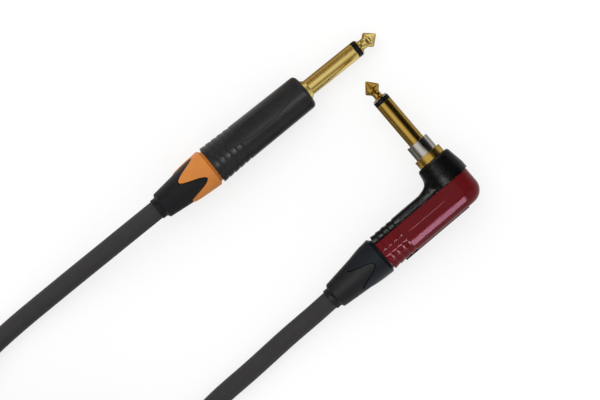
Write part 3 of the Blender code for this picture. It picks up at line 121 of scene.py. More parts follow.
def rounded(section, radius, cyclic=True, steps=3):
    """The section with its corners rounded, as far as its edges are long enough."""
    made = []
    count = len(section)
    for i, (r, z) in enumerate(section):
        here = Vector((r, z))
        if not cyclic and i in (0, count - 1):
            made.append((r, z))
            continue
        before = Vector(section[i - 1]) - here
        after = Vector(section[(i + 1) % count]) - here
        reach = min(radius, CORNER_SHARE * before.length, CORNER_SHARE * after.length)
        start, end = here + before.normalized() * reach, here + after.normalized() * reach
        for k in range(steps + 1):
            t = k / steps
            point = start * (1 - t) ** 2 + here * 2 * t * (1 - t) + end * t * t
            made.append((point.x, point.y))
    return made


def supported(section, cyclic=True):
    """The section with a point close to both ends of each edge, which keeps long faces flat."""
    made = []
    count = len(section)
    for i in range(count if cyclic else count - 1):
        start, end = Vector(section[i]), Vector(section[(i + 1) % count])
        inset = min(SUPPORT / max((end - start).length, 1e-9), 0.3)
        made += [section[i], tuple(start.lerp(end, inset)), tuple(end.lerp(start, inset))]
    return made if cyclic else made + [section[-1]]


def bridge(mesh, rows, cyclic=True):
    """Faces between rows of points."""
    for row, following in zip(rows, rows[1:]):
        for i in range(0 if cyclic else 1, len(row)):
            mesh.faces.new((row[i - 1], row[i], following[i], following[i - 1]))


def capped(mesh, rows):
    """Faces between closed rows, with both ends shut."""
    bridge(mesh, rows)
    mesh.faces.new(rows[0])
    mesh.faces.new(rows[-1])


def mesh_data(name, mesh):
    """The mesh as data of its own."""
    data = bpy.data.meshes.new(name)
    mesh.to_mesh(data)
    mesh.free()
    return data


def closed_mesh(name, mesh):
    """The finished mesh of a piece, smooth between its sharp edges."""
    bmesh.ops.remove_doubles(mesh, verts=mesh.verts, dist=1e-8)
    bmesh.ops.recalc_face_normals(mesh, faces=mesh.faces)
    data = mesh_data(name, mesh)
    data.shade_smooth()
    data.set_sharp_from_angle(angle=SHARP)
    return data


def place_object(name, data, place):
    """Links new data as an object in its place."""
    made = bpy.data.objects.new(name, data)
    bpy.context.scene.collection.objects.link(made)
    made.matrix_world = place
    return made


def dress(piece, surface):
    """Gives a piece one finish all over."""
    piece.data.materials.clear()
    piece.data.materials.append(surface)


def settle(piece, surface, body, *nodes):
    """Gives a piece its finish and puts it on the body it moves with, in place of its nodes."""
    dress(piece, surface)
    bpy.context.view_layer.update()
    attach(piece, body)
    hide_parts(*nodes)
    return piece


def add_piece(name, data, place, surface, body, *nodes):
    """A finished piece in its place."""
    return settle(place_object(name, data, place), surface, body, *nodes)


def even_turn(sides, start=0.0):
    """Angles all round, evenly spaced."""
    return [start + tau * k / sides for k in range(sides)]


def ring_mesh(name, section_at, angles):
    """A closed ring about Z through the sections that section_at(angle) gives."""
    mesh = bmesh.new()
    rings = []
    for angle in angles:
        x, y = cos(angle), sin(angle)
        section = supported(section_at(angle))
        rings.append([mesh.verts.new((r * x, r * y, z)) for r, z in section])
    bridge(mesh, rings + rings[:1])
    return closed_mesh(name, mesh)


def turned_mesh(name, section, sides):
    """A solid turned about Z. A section that starts on the axis also ends on it."""
    mesh = bmesh.new()
    on_axis = section[0][0] < 1e-9
    section = supported(section, not on_axis)
    inner = section[1:-1] if on_axis else section
    rings = [[mesh.verts.new((r * cos(a), r * sin(a), z)) for r, z in inner]
             for a in even_turn(sides)]
    rings.append(rings[0])
    bridge(mesh, rings, not on_axis)
    if on_axis:
        for end in (0, -1):
            pole = mesh.verts.new((0.0, 0.0, section[end][1]))
            for ring, following in zip(rings, rings[1:]):
                mesh.faces.new((ring[end], following[end], pole))
    return closed_mesh(name, mesh)


def add_turned(node, section, sides, place, surface, body=ROOT):
    """A turned piece in place of one of the model's nodes."""
    return add_piece(f"{node}_fine", turned_mesh(node, section, sides), place, surface, body, node)


def round_wire(name, points, radius, resolution):
    """A curve with a round section through the points."""
    data = bpy.data.curves.new(name, "CURVE")
    data.dimensions = "3D"
    line = data.splines.new("POLY")
    line.points.add(len(points) - 1)
    for place, point in zip(line.points, points):
        place.co = (*point, 1.0)
    line.use_smooth = True
    data.bevel_depth = radius
    data.bevel_resolution = resolution
    data.use_fill_caps = True
    return data


def evaluated_mesh(piece):
    """The piece's mesh with its modifiers and its bevel applied."""
    bpy.context.view_layer.update()
    graph = bpy.context.evaluated_depsgraph_get()
    return bpy.data.meshes.new_from_object(piece.evaluated_get(graph))


def combine(piece, data, place, operation):
    """Joins a tool's mesh to a piece, or cuts it away, and keeps the result as its mesh."""
    tool = place_object("tool", data, place)
    step = piece.modifiers.new(operation.lower(), "BOOLEAN")
    step.operation = operation
    step.object = tool
    step.solver = "EXACT"
    data = evaluated_mesh(piece)
    piece.modifiers.clear()
    piece.data = data
    data.shade_smooth()
    data.set_sharp_from_angle(angle=SHARP_CUT)
    bpy.data.objects.remove(tool)


# ---- finishes
SPECKLE_SIZE = 0.0005
SPECKLE_BAND = (0.66, 0.74)
GRAIN_DEPTH = 0.35  # of the grain's size
LATHE_SIZE = 0.00012
LATHE_DEPTH = 0.000002
LATHE_STRETCH = (0.02, 0.02, 1.0)


def fill(node, values):
    """Sets inputs of a node by name, and gives back the node."""
    for socket, value in values.items():
        node.inputs[socket].default_value = value
    return node


def finish(name, colour, roughness, metallic=0.0, specular=0.5, mottle=0.08, mottle_size=0.006,
           wear=0.05, grain=0.0, grain_size=0.0003, lathe=0.0, speckle=0.0):
    """A procedural finish.

    mottle varies the colour over mottle_size, wear varies the roughness, grain raises a fine
    texture of grain_size (strength 0 to 1), lathe adds turning marks round Z, and speckle
    lightens small spots.
    """
    made = bpy.data.materials.new(name)
    made.use_nodes = True
    nodes, links = made.node_tree.nodes, made.node_tree.links
    shader = fill(nodes["Principled BSDF"],
                  {"Metallic": metallic, "Specular IOR Level": specular})
    place = nodes.new("ShaderNodeTexCoord").outputs["Object"]

    def noise(size, detail=3.0, source=place):
        node = fill(nodes.new("ShaderNodeTexNoise"), {"Scale": 1.0 / size, "Detail": detail})
        links.new(source, node.inputs["Vector"])
        return node.outputs["Fac"]

    def mapped(source, low, high, floor=0.3, roof=0.7):
        node = fill(nodes.new("ShaderNodeMapRange"),
                    {"From Min": floor, "From Max": roof, "To Min": low, "To Max": high})
        links.new(source, node.inputs["Value"])
        return node.outputs["Result"]

    def blended(factor, first, second):
        node = nodes.new("ShaderNodeMix")
        node.data_type = "RGBA"
        links.new(factor, node.inputs["Factor"])
        for socket, value in (("A", first), ("B", second)):
            entry = next(s for s in node.inputs if s.name == socket and s.type == "RGBA")
            if hasattr(value, "links"):
                links.new(value, entry)
            else:
                entry.default_value = (*value, 1.0)
        return next(s for s in node.outputs if s.type == "RGBA")

    darker = tuple(c * (1 - mottle) for c in colour)
    lighter = tuple(min(1.0, c * (1 + mottle)) for c in colour)
    shade = blended(mapped(noise(mottle_size), 0.0, 1.0), darker, lighter)
    if speckle:
        spots = mapped(noise(SPECKLE_SIZE, 1.0), 0.0, speckle, *SPECKLE_BAND)
        pale = tuple(min(1.0, c * 2.2 + 0.02) for c in colour)
        shade = blended(spots, shade, pale)
    links.new(shade, shader.inputs["Base Color"])
    rough = mapped(noise(mottle_size * 0.5, 4.0), max(0.02, roughness - wear), roughness + wear)
    links.new(rough, shader.inputs["Roughness"])
    height = None
    if grain:
        height = noise(grain_size, 2.0), grain, grain_size * GRAIN_DEPTH
    if lathe:
        stretch = fill(nodes.new("ShaderNodeMapping"), {"Scale": LATHE_STRETCH})
        links.new(place, stretch.inputs["Vector"])
        height = noise(LATHE_SIZE, 2.0, stretch.outputs["Vector"]), lathe, LATHE_DEPTH
    if height:
        texture, strength, depth = height
        bump = fill(nodes.new("ShaderNodeBump"), {"Strength": strength, "Distance": depth})
        links.new(texture, bump.inputs["Height"])
        links.new(bump.outputs["Normal"], shader.inputs["Normal"])
    return made


LIGHT_GOLD = finish("light_gold", (0.80, 0.62, 0.215), 0.24, 1.0, mottle=0.03, wear=0.02,
                    lathe=0.10)
# Amber gold of the angled plug: its own deeper, more orange tone, with the base darkened further
# as painted shade.
AMBER_GOLD_PAINTED_SHADE = finish("amber_gold_painted_shade", (0.50, 0.315, 0.066), 0.25, 1.0, mottle=0.06, wear=0.02,
                   lathe=0.10)
SILVER = finish("silver", (0.48, 0.46, 0.42), 0.22, 1.0, mottle=0.04, wear=0.02, lathe=0.10)
SHELL_BLACK = finish("shell_black", (0.0165, 0.0165, 0.0170), 0.33, specular=0.20, mottle=0.15,
                     grain=0.25, grain_size=0.00022)
BODY_BLACK = finish("body_black", (0.0026, 0.0026, 0.0030), 0.24, specular=0.10, mottle=0.2,
                    wear=0.08, grain=0.45, grain_size=0.0007)
INSULATOR_BLACK = finish("insulator_black", (0.004, 0.004, 0.005), 0.35, specular=0.2, grain=0.2)
BUSHING_BLUE_BLACK = finish("bushing_blue_black", (0.0100, 0.0130, 0.0172), 0.38, specular=0.14,
                            mottle=0.10, grain=0.20)
BOOT_RUBBER = finish("boot_rubber", (0.0095, 0.0100, 0.0115), 0.50, specular=0.16, mottle=0.15,
                     grain=0.8, grain_size=0.00032, speckle=0.14)
ORANGE = finish("orange_plastic", (0.57, 0.20, 0.040), 0.42, specular=0.20, mottle=0.04,
                grain=0.20)
RED = finish("red_gloss", (0.105, 0.0050, 0.0072), 0.20, specular=0.08, mottle=0.10,
             mottle_size=0.012, wear=0.03, grain=0.06, grain_size=0.0012)
JACKET = finish("cable_jacket", (0.036, 0.034, 0.035), 0.60, specular=0.14, mottle=0.06,
                mottle_size=0.004, grain=0.5, grain_size=0.0004, speckle=0.06)
WHITE_PLASTIC = finish("white_plastic", (0.75, 0.75, 0.72), 0.45, grain=0.2)
TIN = finish("tin", (0.62, 0.62, 0.60), 0.32, 1.0, mottle=0.10, wear=0.08, grain=0.2)
COPPER = finish("copper", (0.80, 0.42, 0.22), 0.35, 1.0, mottle=0.12, wear=0.08, grain=0.3)
STEEL = finish("steel", (0.55, 0.55, 0.56), 0.28, 1.0, mottle=0.06, wear=0.06, grain=0.15)
MAGNET = finish("magnet", (0.22, 0.22, 0.23), 0.45, 1.0, mottle=0.10, wear=0.08, grain=0.3)
BOARD = finish("board", (0.03, 0.16, 0.06), 0.45, mottle=0.15, mottle_size=0.002, grain=0.3)
GLASS = finish("green_glass", (0.35, 0.60, 0.45), 0.08, mottle=0.05, wear=0.02)


def both(*kinds):
    """Names of nodes that both plugs have."""
    return [f"{plug}_{kind}" for kind in kinds for plug in ("straight", "angled")]


# The model's own nodes that stay, most of them inside.
NODE_FINISHES = {
    WHITE_PLASTIC: both("rear_insulator", "chuck", "core_insulation"),
    TIN: both("tip_tag", "ground_tag") + ["angled_nut"],
    COPPER: both("core_wire", "shield_tail"),
    MAGNET: ["mute_magnet"],
    BOARD: ["switch_board"],
    GLASS: ["reed_switch"],
    JACKET: both("jacket_end"),
    BODY_BLACK: ["angled_spine_strip"],
}
for surface, names in NODE_FINISHES.items():
    for name in names:
        dress(NODES[name], surface)

# ---- camera
# The photograph's frame is 600 by 400 pixels, at 2.72 pixels to the millimetre on the plugs.
FRAME_CENTRE = (-0.00543, -0.01089)
FRAME_WIDTH = 0.2206
PLUG_HEIGHT = 0.008
CAMERA_DISTANCE = 1.2
SENSOR_WIDTH = 36.0

lens = bpy.data.cameras.new("camera")
lens.sensor_width = SENSOR_WIDTH
lens.lens = SENSOR_WIDTH * CAMERA_DISTANCE / FRAME_WIDTH
lens.clip_start = 0.01
bpy.context.scene.camera = place_object(
    "camera", lens, Matrix.Translation((*FRAME_CENTRE, PLUG_HEIGHT + CAMERA_DISTANCE)))

# ---- lead
# The model's runs and coil, but the angled run starts straight, as the photograph shows it.
BOOT_END = -0.02605
CORD_GAP = 0.0003
CORD_INSIDE = 0.0004
ROUTE_SPACING = 0.003
STRAIGHT_RUN = [
    (-0.0765, -0.0295, 0.0097), (-0.0945, -0.0440, 0.0056), (-0.1125, -0.0590, 0.0038),
    (-0.1234, -0.0697, 0.0050), (-0.1324, -0.0829, 0.0106), (-0.1388, -0.0976, 0.0184),
    (-0.1423, -0.1132, 0.0248),
]
ANGLED_RUN = [
    (-0.0099, -0.0614, 0.0046), (-0.0232, -0.0735, 0.0037), (-0.0358, -0.0846, 0.0037),
    (-0.0425, -0.0920, 0.0037), (-0.0463, -0.0997, 0.0037), (-0.0474, -0.1076, 0.0037),
]
COIL_CENTRE = (-0.0906, -0.1494)
COIL_INNER_RADIUS = 0.0303
COIL_LAYERS = 4
COIL_PITCH = 0.00795
COIL_START = radians(175.0)
COIL_TURNS = 10 + 207.0 / 360.0
LAYER_TURNS = COIL_TURNS / COIL_LAYERS
DROP_TURNS = 0.5
LOOP_POINTS = 72


def coil_points():
    """The coil's loops, with a straight diameter at each end."""
    steps = round(COIL_TURNS * LOOP_POINTS)
    points = []
    for k in range(steps + 1):
        turn = COIL_TURNS * k / steps
        layer = min(int(turn / LAYER_TURNS), COIL_LAYERS - 1)
        along = turn - layer * LAYER_TURNS
        radius = COIL_INNER_RADIUS + COIL_PITCH * (along if layer % 2 else LAYER_TURNS - along)
        drop = sum(smooth_step((turn - reversal * LAYER_TURNS) / DROP_TURNS + 0.5)
                   for reversal in range(1, COIL_LAYERS))
        angle = COIL_START + tau * turn
        points.append(Vector((COIL_CENTRE[0] + radius * cos(angle),
                              COIL_CENTRE[1] + radius * sin(angle),
                              CABLE_RADIUS + COIL_PITCH * (COIL_LAYERS - 1 - drop))))
    for end, inner in ((0, 1), (-1, -2)):
        away = points[end] - points[inner]
        straight = points[end] + Vector((away.x, away.y, 0.0)).normalized() * DIAMETER
        points.insert(0 if end == 0 else len(points), straight)
    return points


def smooth_route(points):
    """Points closely along a smooth curve through the route's own points."""
    chosen = [points[0]]
    last = len(points) - 1
    for i, (start, end) in enumerate(zip(points, points[1:])):
        reach = (end - start).length
        leave = (end - points[max(i - 1, 0)]).normalized() * reach
        arrive = (points[min(i + 2, last)] - start).normalized() * reach
        steps = max(1, round(reach / ROUTE_SPACING))
        for k in range(1, steps + 1):
            t = k / steps
            chosen.append(start * (2 * t**3 - 3 * t**2 + 1) + leave * (t**3 - 2 * t**2 + t)
                          + end * (3 * t**2 - 2 * t**3) + arrive * (t**3 - t**2))
    return chosen


def run_points(entry, route, inner, outer):
    """One run, from inside the boot's ring to the coil's end."""
    away = (outer - inner).normalized()
    inside, start, straight = [
        entry @ Vector((0.0, 0.0, BOOT_END + height))
        for height in (CORD_INSIDE, -CORD_GAP, -CORD_GAP - DIAMETER)]
    ends = [outer + away * (CORD_GAP + DIAMETER), outer]
    return [inside] + smooth_route([start, straight] + [Vector(p) for p in route] + ends)


def make_lead():
    """The whole free lead as one smooth cord."""
    coil = coil_points()
    first = run_points(STRAIGHT_ENTRY, STRAIGHT_RUN, coil[1], coil[0])
    second = run_points(ANGLED_ENTRY, ANGLED_RUN, coil[-2], coil[-1])
    points = first + coil[1:-1] + second[::-1]
    lead = add_piece("lead_cord", round_wire("lead", points, CABLE_RADIUS, 6),
                     Matrix(), JACKET, ROOT,
                     "cable_coil", "cable_straight_run", "cable_angled_run")


make_lead()

# ---- contacts
TIP_NOSE = 0.00055
TIP_CONE, TIP_FLARE = 41.0, 45.0
TIP_SHOULDER = 0.0008
TIP_CROWN = 0.00458
GROOVE_FRONT, GROOVE_REAR = 0.0012, 0.0010
GROOVE_HEIGHT = 0.00155
TIP_BASE_RADIUS = 0.0029
RIVET_RADIUS = ROD_RADIUS + 0.0005
RIVET_HEIGHT = 0.0006
CONTACT_SIDES = 96


def tip_section(end, rear, neck):
    """The tip: nose, cone, round shoulder, ball groove and base, then the rod to its rivet."""
    base = end - TIP_LENGTH
    flare = radians(TIP_FLARE)
    outer = arc(PLUG_RADIUS - 0.00005 - TIP_SHOULDER, base + TIP_CROWN, TIP_SHOULDER,
                TIP_CONE, -TIP_FLARE, 8)
    run_out = neck + GROOVE_FRONT * (1 - cos(flare))
    groove = (outer[-1][1] - (outer[-1][0] - run_out) / tan(flare)
              - GROOVE_FRONT * sin(flare))
    section = [(0.0, end)]
    section += arc(0.0, end - TIP_NOSE, TIP_NOSE, 78.0, TIP_CONE, 4)
    section += outer
    section += arc(neck + GROOVE_FRONT, groove, GROOVE_FRONT, 180.0 - TIP_FLARE, 180.0, 6)
    section += arc(neck + GROOVE_REAR, base + GROOVE_HEIGHT, GROOVE_REAR, 180.0, 235.0, 6)
    section += rounded([(0.0026, base + 0.00058), (TIP_BASE_RADIUS, base + 0.00045),
                        *faces((base + SEAT_GAP / 2, TIP_BASE_RADIUS, ROD_RADIUS))],
                       0.0001, cyclic=False)
    return section + faces((rear + RIVET_HEIGHT, ROD_RADIUS, RIVET_RADIUS),
                           (rear, RIVET_RADIUS, 0.0))


def insulator_section(end, rear):
    """The insulating ring behind the tip, with the tube that lines the sleeve."""
    front = end - TIP_LENGTH - SEAM
    back = front - INSULATOR_WIDTH + 2 * SEAM
    lining, bore = SLEEVE_BORE - FIT / 2, ROD_RADIUS + FIT / 2
    return rounded(faces((front, bore, PLUG_RADIUS), (back, PLUG_RADIUS, lining),
                         (rear, lining, bore)), 0.00008)


def make_contacts(prefix, place, end, rod_rear, tube_rear, neck, gold):
    """Tip and insulating ring of one plug."""
    add_turned(f"{prefix}_tip", tip_section(end, rod_rear, neck), CONTACT_SIDES, place, gold)
    add_turned(f"{prefix}_insulator", insulator_section(end, tube_rear), CONTACT_SIDES, place,
               INSULATOR_BLACK)


# ---- cable entry of both plugs
BUSHING_RADIUS = 0.00765
NECK_RADIUS = 0.00655
BUSHING_FRONT = -0.00145
BUSHING_WALL_REAR = BUSHING_FRONT - 0.00125
BUSHING_CHAMFER = 0.0007
BUSHING_ROUNDING = 0.00016
PETALS = 4
PETAL_TIP = BUSHING_FRONT - 0.0123
ARCH = BUSHING_FRONT - 0.0030
PETAL_PROUD = 0.0006
PETAL_PROUD_FRONT = 0.00012
PETAL_EDGE_GAP = 0.00020
BOOT_SEAT_DEPTH = 0.0009
BOOT_SHOULDER = BOOT_END + 0.00255
BOOT_SHOULDER_RADIUS = 0.0052
BOOT_ROUNDING = 0.00035
END_RING_RADIUS = 0.00413
RING_FRONT = BOOT_END + 0.0019
POCKET_TURN = tau / 6
POCKET_DEPTH = 0.00022
POCKET_SHARE = 0.45
POCKET_EDGE = 0.03
SPIGOT_RADIUS = 0.00595
SPIGOT_LENGTH = 0.0062
CHUCK_REAR_RADIUS = 0.0044
CHUCK_FRONT_RADIUS = 0.0050
ENTRY_SIDES = 192


def boot_radius(height):
    """The boot's cone, from its shoulder to the bushing's front face."""
    share = (height - BOOT_SHOULDER) / (BUSHING_FRONT - BOOT_SHOULDER)
    front = BUSHING_RADIUS - PETAL_PROUD_FRONT
    return BOOT_SHOULDER_RADIUS + share * (front - BOOT_SHOULDER_RADIUS)


def petal_radius(height):
    """The petals' outer cone."""
    share = (height - PETAL_TIP) / (BUSHING_FRONT - PETAL_TIP)
    tip_radius = boot_radius(PETAL_TIP) + PETAL_PROUD
    return tip_radius + share * (BUSHING_RADIUS - tip_radius)


def petal_edge(angle, turn, gap=0.0):
    """Height of the wave between bushing and boot, or of a line a gap away from it."""
    swing = (ARCH - PETAL_TIP) / 2
    height = ARCH - swing - swing * cos(PETALS * (angle - turn))
    slope = swing * PETALS * sin(PETALS * (angle - turn)) / NECK_RADIUS
    return height - gap * hypot(1.0, slope)


def boot_section(angle, turn):
    """The boot's section, with the pockets of its end ring."""
    edge = petal_edge(angle, turn, PETAL_EDGE_GAP)
    top = boot_radius(edge)
    share = ((angle - turn) / POCKET_TURN + 0.25) % 1.0
    inside = min(share / POCKET_EDGE, (POCKET_SHARE - share) / POCKET_EDGE, 1.0)
    ring = END_RING_RADIUS - POCKET_DEPTH * max(0.0, inside)
    front = BUSHING_WALL_REAR - SEAT_GAP
    points = rounded([
        (JACKET_BORE, BOOT_END), (ring, BOOT_END), (ring, RING_FRONT - SEAT_GAP),
        (END_RING_RADIUS, RING_FRONT), (BOOT_SHOULDER_RADIUS, BOOT_SHOULDER), (top, edge),
    ], BOOT_ROUNDING, cyclic=False, steps=4)
    return (points[:-1] + [(top + 0.00002, edge - 0.0002)]
            + faces((edge, top - 0.00008, top - BOOT_SEAT_DEPTH),
                    (front, boot_radius(front) - BOOT_SEAT_DEPTH, JACKET_BORE)))


def bushing_section(angle, turn):
    """The bushing's section, from the petals' edge to the spigot."""
    edge = petal_edge(angle, turn)
    top = petal_radius(edge)
    outer = faces((edge, boot_radius(edge) - BOOT_SEAT_DEPTH + FIT, top - 0.00022))
    outer += [(top - 0.00006, edge + 0.00007), (petal_radius(edge + 0.00025), edge + 0.00025)]
    body = rounded([
        (petal_radius(edge + 0.00045), edge + 0.00045),
        (BUSHING_RADIUS, BUSHING_FRONT),
        *faces((BUSHING_FRONT + BUSHING_CHAMFER, NECK_RADIUS + 0.0002, NECK_RADIUS),
               (-SEAT_GAP, NECK_RADIUS, SPIGOT_RADIUS)),
        (SPIGOT_RADIUS, SPIGOT_LENGTH),
    ], BUSHING_ROUNDING, cyclic=False, steps=4)
    seat = boot_radius(BUSHING_WALL_REAR) - BOOT_SEAT_DEPTH + FIT
    return outer + body + [(CHUCK_FRONT_RADIUS + FIT, SPIGOT_LENGTH)] + faces(
        (0.0, CHUCK_REAR_RADIUS + FIT, JACKET_BORE), (BUSHING_WALL_REAR, JACKET_BORE, seat))


def make_entry(prefix, place, degrees, colour):
    """Bushing and boot of one plug. Gives back the boot."""
    turn = radians(degrees)
    for kind, section, surface in (("bushing", bushing_section, colour),
                                   ("boot", boot_section, BOOT_RUBBER)):
        data = ring_mesh(kind, lambda angle: section(angle, turn), even_turn(ENTRY_SIDES, turn))
        piece = add_piece(f"{prefix}_{kind}_fine", data, place, surface, ROOT, f"{prefix}_{kind}")
    return piece


make_entry("straight", STRAIGHT_ENTRY, -22.5, ORANGE)
ANGLED_BOOT = make_entry("angled", ANGLED_ENTRY, 52.0, BUSHING_BLUE_BLACK)

# ---- straight plug
SHELL_FRONT = -0.0014
SHELL_FRONT_WALL = 0.0018
SHELL_REAR_RADIUS = 0.00765
WAIST_RADIUS = 0.00725
SHELL_FRONT_RADIUS = 0.00695
NOSE_WIDTH, NOSE_LENGTH = 0.0017, 0.0016
OUTLINE_SPACING = 0.00025
RIB_PITCH = 0.0026
RIB_COUNT = 5
RIB_DEPTH = 0.00021
RIB_GROOVE = 0.00014
# Share of the pitch and depth under the crest.
RIB_LINE = ((0.06, 0.00003), (0.14, 0.0), (0.45, 0.25 * RIB_DEPTH), (0.84, RIB_DEPTH),
            (0.93, RIB_DEPTH + RIB_GROOVE))
RECESS_TURN = radians(-15.0)
RECESS_CENTRE = -0.0226
RECESS_LENGTH = 0.0312
RECESS_WIDTH = 0.0066
RECESS_RADIUS = 0.0071
RECESS_FLOOR = 0.00675
RECESS_WALL = 0.00020
FINE_HALF = radians(34.0)
FINE_SIDES, COARSE_SIDES = 150, 110
SHOULDER_RADIUS = 0.004275
SHELL_OPENING = 0.004375
HUB_REAR = -0.0090
HUB_RADIUS = 0.00565


def shell_outline():
    """The shell's outer line: ribs over the rear, a taper, and the rounded front."""
    waist = SHELL_REAR + RIB_COUNT * RIB_PITCH
    points = [(SHELL_REAR_RADIUS - 0.0004, SHELL_REAR)]
    for k in range(RIB_COUNT):
        crest = SHELL_REAR_RADIUS + (WAIST_RADIUS - SHELL_REAR_RADIUS) * k / RIB_COUNT
        start = SHELL_REAR + k * RIB_PITCH
        points += [(crest - depth, start + share * RIB_PITCH) for share, depth in RIB_LINE]
    points.append((WAIST_RADIUS, waist + 0.08 * RIB_PITCH))
    turns = [radians(degrees) for degrees in range(0, 91, 10)]
    front = [(SHELL_FRONT_RADIUS - NOSE_WIDTH + NOSE_WIDTH * cos(t),
              SHELL_FRONT - NOSE_LENGTH + NOSE_LENGTH * sin(t)) for t in turns]
    points = rounded(points, 0.00012, cyclic=False, steps=2)
    filled = []
    for (r0, z0), (r1, z1) in zip(points, points[1:] + front[:1]):
        steps = max(1, ceil((z1 - z0) / OUTLINE_SPACING))
        filled += [(r0 + (r1 - r0) * k / steps, z0 + (z1 - z0) * k / steps) for k in range(steps)]
    return filled + front


OUTLINE = shell_outline()


def shell_section(angle):
    """The shell's section, sunk where the bare elliptical recess is."""
    across = ((angle - RECESS_TURN + pi) % tau - pi) * RECESS_RADIUS
    side = across / (RECESS_WIDTH / 2)
    points = []
    for r, z in OUTLINE:
        along = (z - RECESS_CENTRE) / (RECESS_LENGTH / 2)
        reach = hypot(along, side)
        if reach < 1.3 and z < SHELL_FRONT - 0.003:
            slope = hypot(along / (RECESS_LENGTH / 2), side / (RECESS_WIDTH / 2))
            inward = (1 - reach) * reach / max(1e-6, slope)
            r += (min(r, RECESS_FLOOR) - r) * smooth_step(inward / RECESS_WALL)
        points.append((r, z))
    return (points + faces((SHELL_FRONT, SHELL_OPENING + 0.0008, SHELL_OPENING + 0.0001))
            + [(SHELL_OPENING, SHELL_FRONT - 0.0001)]
            + faces((SHELL_FRONT - SHELL_FRONT_WALL, SHELL_OPENING, CAVITY_RADIUS - 0.0003))
            + [(CAVITY_RADIUS - 0.0003, HUB_REAR - 2 * SEAT_GAP),
               (CAVITY_RADIUS, HUB_REAR - 3 * SEAT_GAP)]
            + faces((SHELL_REAR, CAVITY_RADIUS, CAVITY_RADIUS + 0.0006)))


def shell_angles():
    """Angles round the shell, close together across the recess."""
    start, end = RECESS_TURN - FINE_HALF, RECESS_TURN + FINE_HALF
    return spaced(start, end, FINE_SIDES)[:-1] + spaced(end, start + tau, COARSE_SIDES)[:-1]


def straight_sleeve_section():
    """The sleeve contact with its shoulder cone and hub."""
    front = PLUG_LENGTH - TIP_LENGTH - INSULATOR_WIDTH
    hub_front = SHELL_FRONT - SHELL_FRONT_WALL - SEAT_GAP
    return rounded(faces((front, SLEEVE_BORE, PLUG_RADIUS))
                   + [(PLUG_RADIUS, 0.0), (SHOULDER_RADIUS, SHELL_FRONT)]
                   + faces((hub_front, SHOULDER_RADIUS, HUB_RADIUS),
                           (HUB_REAR, HUB_RADIUS, SLEEVE_BORE)), 0.0002)


SHELL = add_piece("straight_shell_fine", ring_mesh("shell", shell_section, shell_angles()),
                  STRAIGHT, SHELL_BLACK, ROOT, "straight_shell")
add_turned("straight_sleeve", straight_sleeve_section(), CONTACT_SIDES, STRAIGHT, LIGHT_GOLD)
make_contacts("straight", STRAIGHT, PLUG_LENGTH, -0.0128, -0.0088, 0.0019, LIGHT_GOLD)

# ---- angled plug, shaft side
ANGLED_TIP_END = 0.0519
SLEEVE_REAR = 0.000975
MUTE_BORE = PLUG_RADIUS + 0.00008
MUTE_RADIUS = 0.004555
MUTE_FRONT = 0.02305
MUTE_REAR = 0.01265
MUTE_FLANGE_RADIUS = 0.004855
MUTE_FLANGE = 0.0010
MUTE_SIDES = 120
COLLAR_FRONT = 0.0173
COLLAR_REAR = 0.0095
COLLAR_LIP = 0.0015
COLLAR_RADIUS = 0.005585
COLLAR_BORE = 0.004635
COLLAR_INNER_RADIUS = 0.004935
COLLAR_NECK_RADIUS = 0.005385
SHAFT_ROUNDING = 0.00014
POST_HEIGHT = 0.0142
SPRING_SEAT = 0.0052
SPRING_FLANGE = 0.00075
SPRING_WIRE = 0.00045
SPRING_TURNS = 4
SPRING_STEPS = 36 * SPRING_TURNS
SPRING_RADIUS = (MUTE_BORE + MUTE_RADIUS) / 2
SPRING_ENDS = (0.006475, 0.010775)


def mute_section():
    """The muting sleeve, with the flange that keeps it in the collar."""
    flange = COLLAR_FRONT - COLLAR_LIP - SEAT_GAP
    return rounded(faces(
        (MUTE_FRONT, MUTE_BORE, MUTE_RADIUS),
        (flange, MUTE_RADIUS, MUTE_FLANGE_RADIUS),
        (flange - MUTE_FLANGE, MUTE_FLANGE_RADIUS, MUTE_RADIUS),
        (MUTE_REAR, MUTE_RADIUS, MUTE_BORE),
    ), SHAFT_ROUNDING)


def make_spring():
    """The spring behind the muting sleeve. It shortens as the sleeve is pushed back."""
    low, high = SPRING_ENDS
    points = [(SPRING_RADIUS * cos(angle), SPRING_RADIUS * sin(angle), height)
              for angle, height in zip(spaced(0.0, tau * SPRING_TURNS, SPRING_STEPS),
                                       spaced(low, high, SPRING_STEPS))]
    wire = place_object("spring_wire", round_wire("spring", points, SPRING_WIRE / 2, 3),
                        Matrix())
    mesh = bmesh.new()
    mesh.from_mesh(evaluated_mesh(wire))
    bmesh.ops.remove_doubles(mesh, verts=mesh.verts, dist=1e-7)
    bpy.data.objects.remove(wire)
    spring = add_piece("mute_spring_fine", closed_mesh("mute_spring_fine", mesh), SHAFT, STEEL,
                       ROOT, "mute_spring")
    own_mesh(spring)


def collar_section():
    """The collar round the muting sleeve, with its neck in the post."""
    return rounded(faces(
        (COLLAR_FRONT, COLLAR_BORE, COLLAR_RADIUS),
        (POST_HEIGHT + FIT, COLLAR_RADIUS, COLLAR_NECK_RADIUS),
        (COLLAR_REAR, COLLAR_NECK_RADIUS, COLLAR_INNER_RADIUS),
        (COLLAR_FRONT - COLLAR_LIP, COLLAR_INNER_RADIUS, COLLAR_BORE),
    ), SHAFT_ROUNDING)


def angled_sleeve_section():
    """The long sleeve contact, with the flange that the spring stands on."""
    front = ANGLED_TIP_END - TIP_LENGTH - INSULATOR_WIDTH
    low = SPRING_SEAT + SEAT_GAP
    return rounded(faces(
        (front, SLEEVE_BORE, PLUG_RADIUS),
        (low + SPRING_FLANGE, PLUG_RADIUS, MUTE_RADIUS - FIT),
        (low, MUTE_RADIUS - FIT, PLUG_RADIUS),
        (SLEEVE_REAR, PLUG_RADIUS, SLEEVE_BORE),
    ), 0.00012)


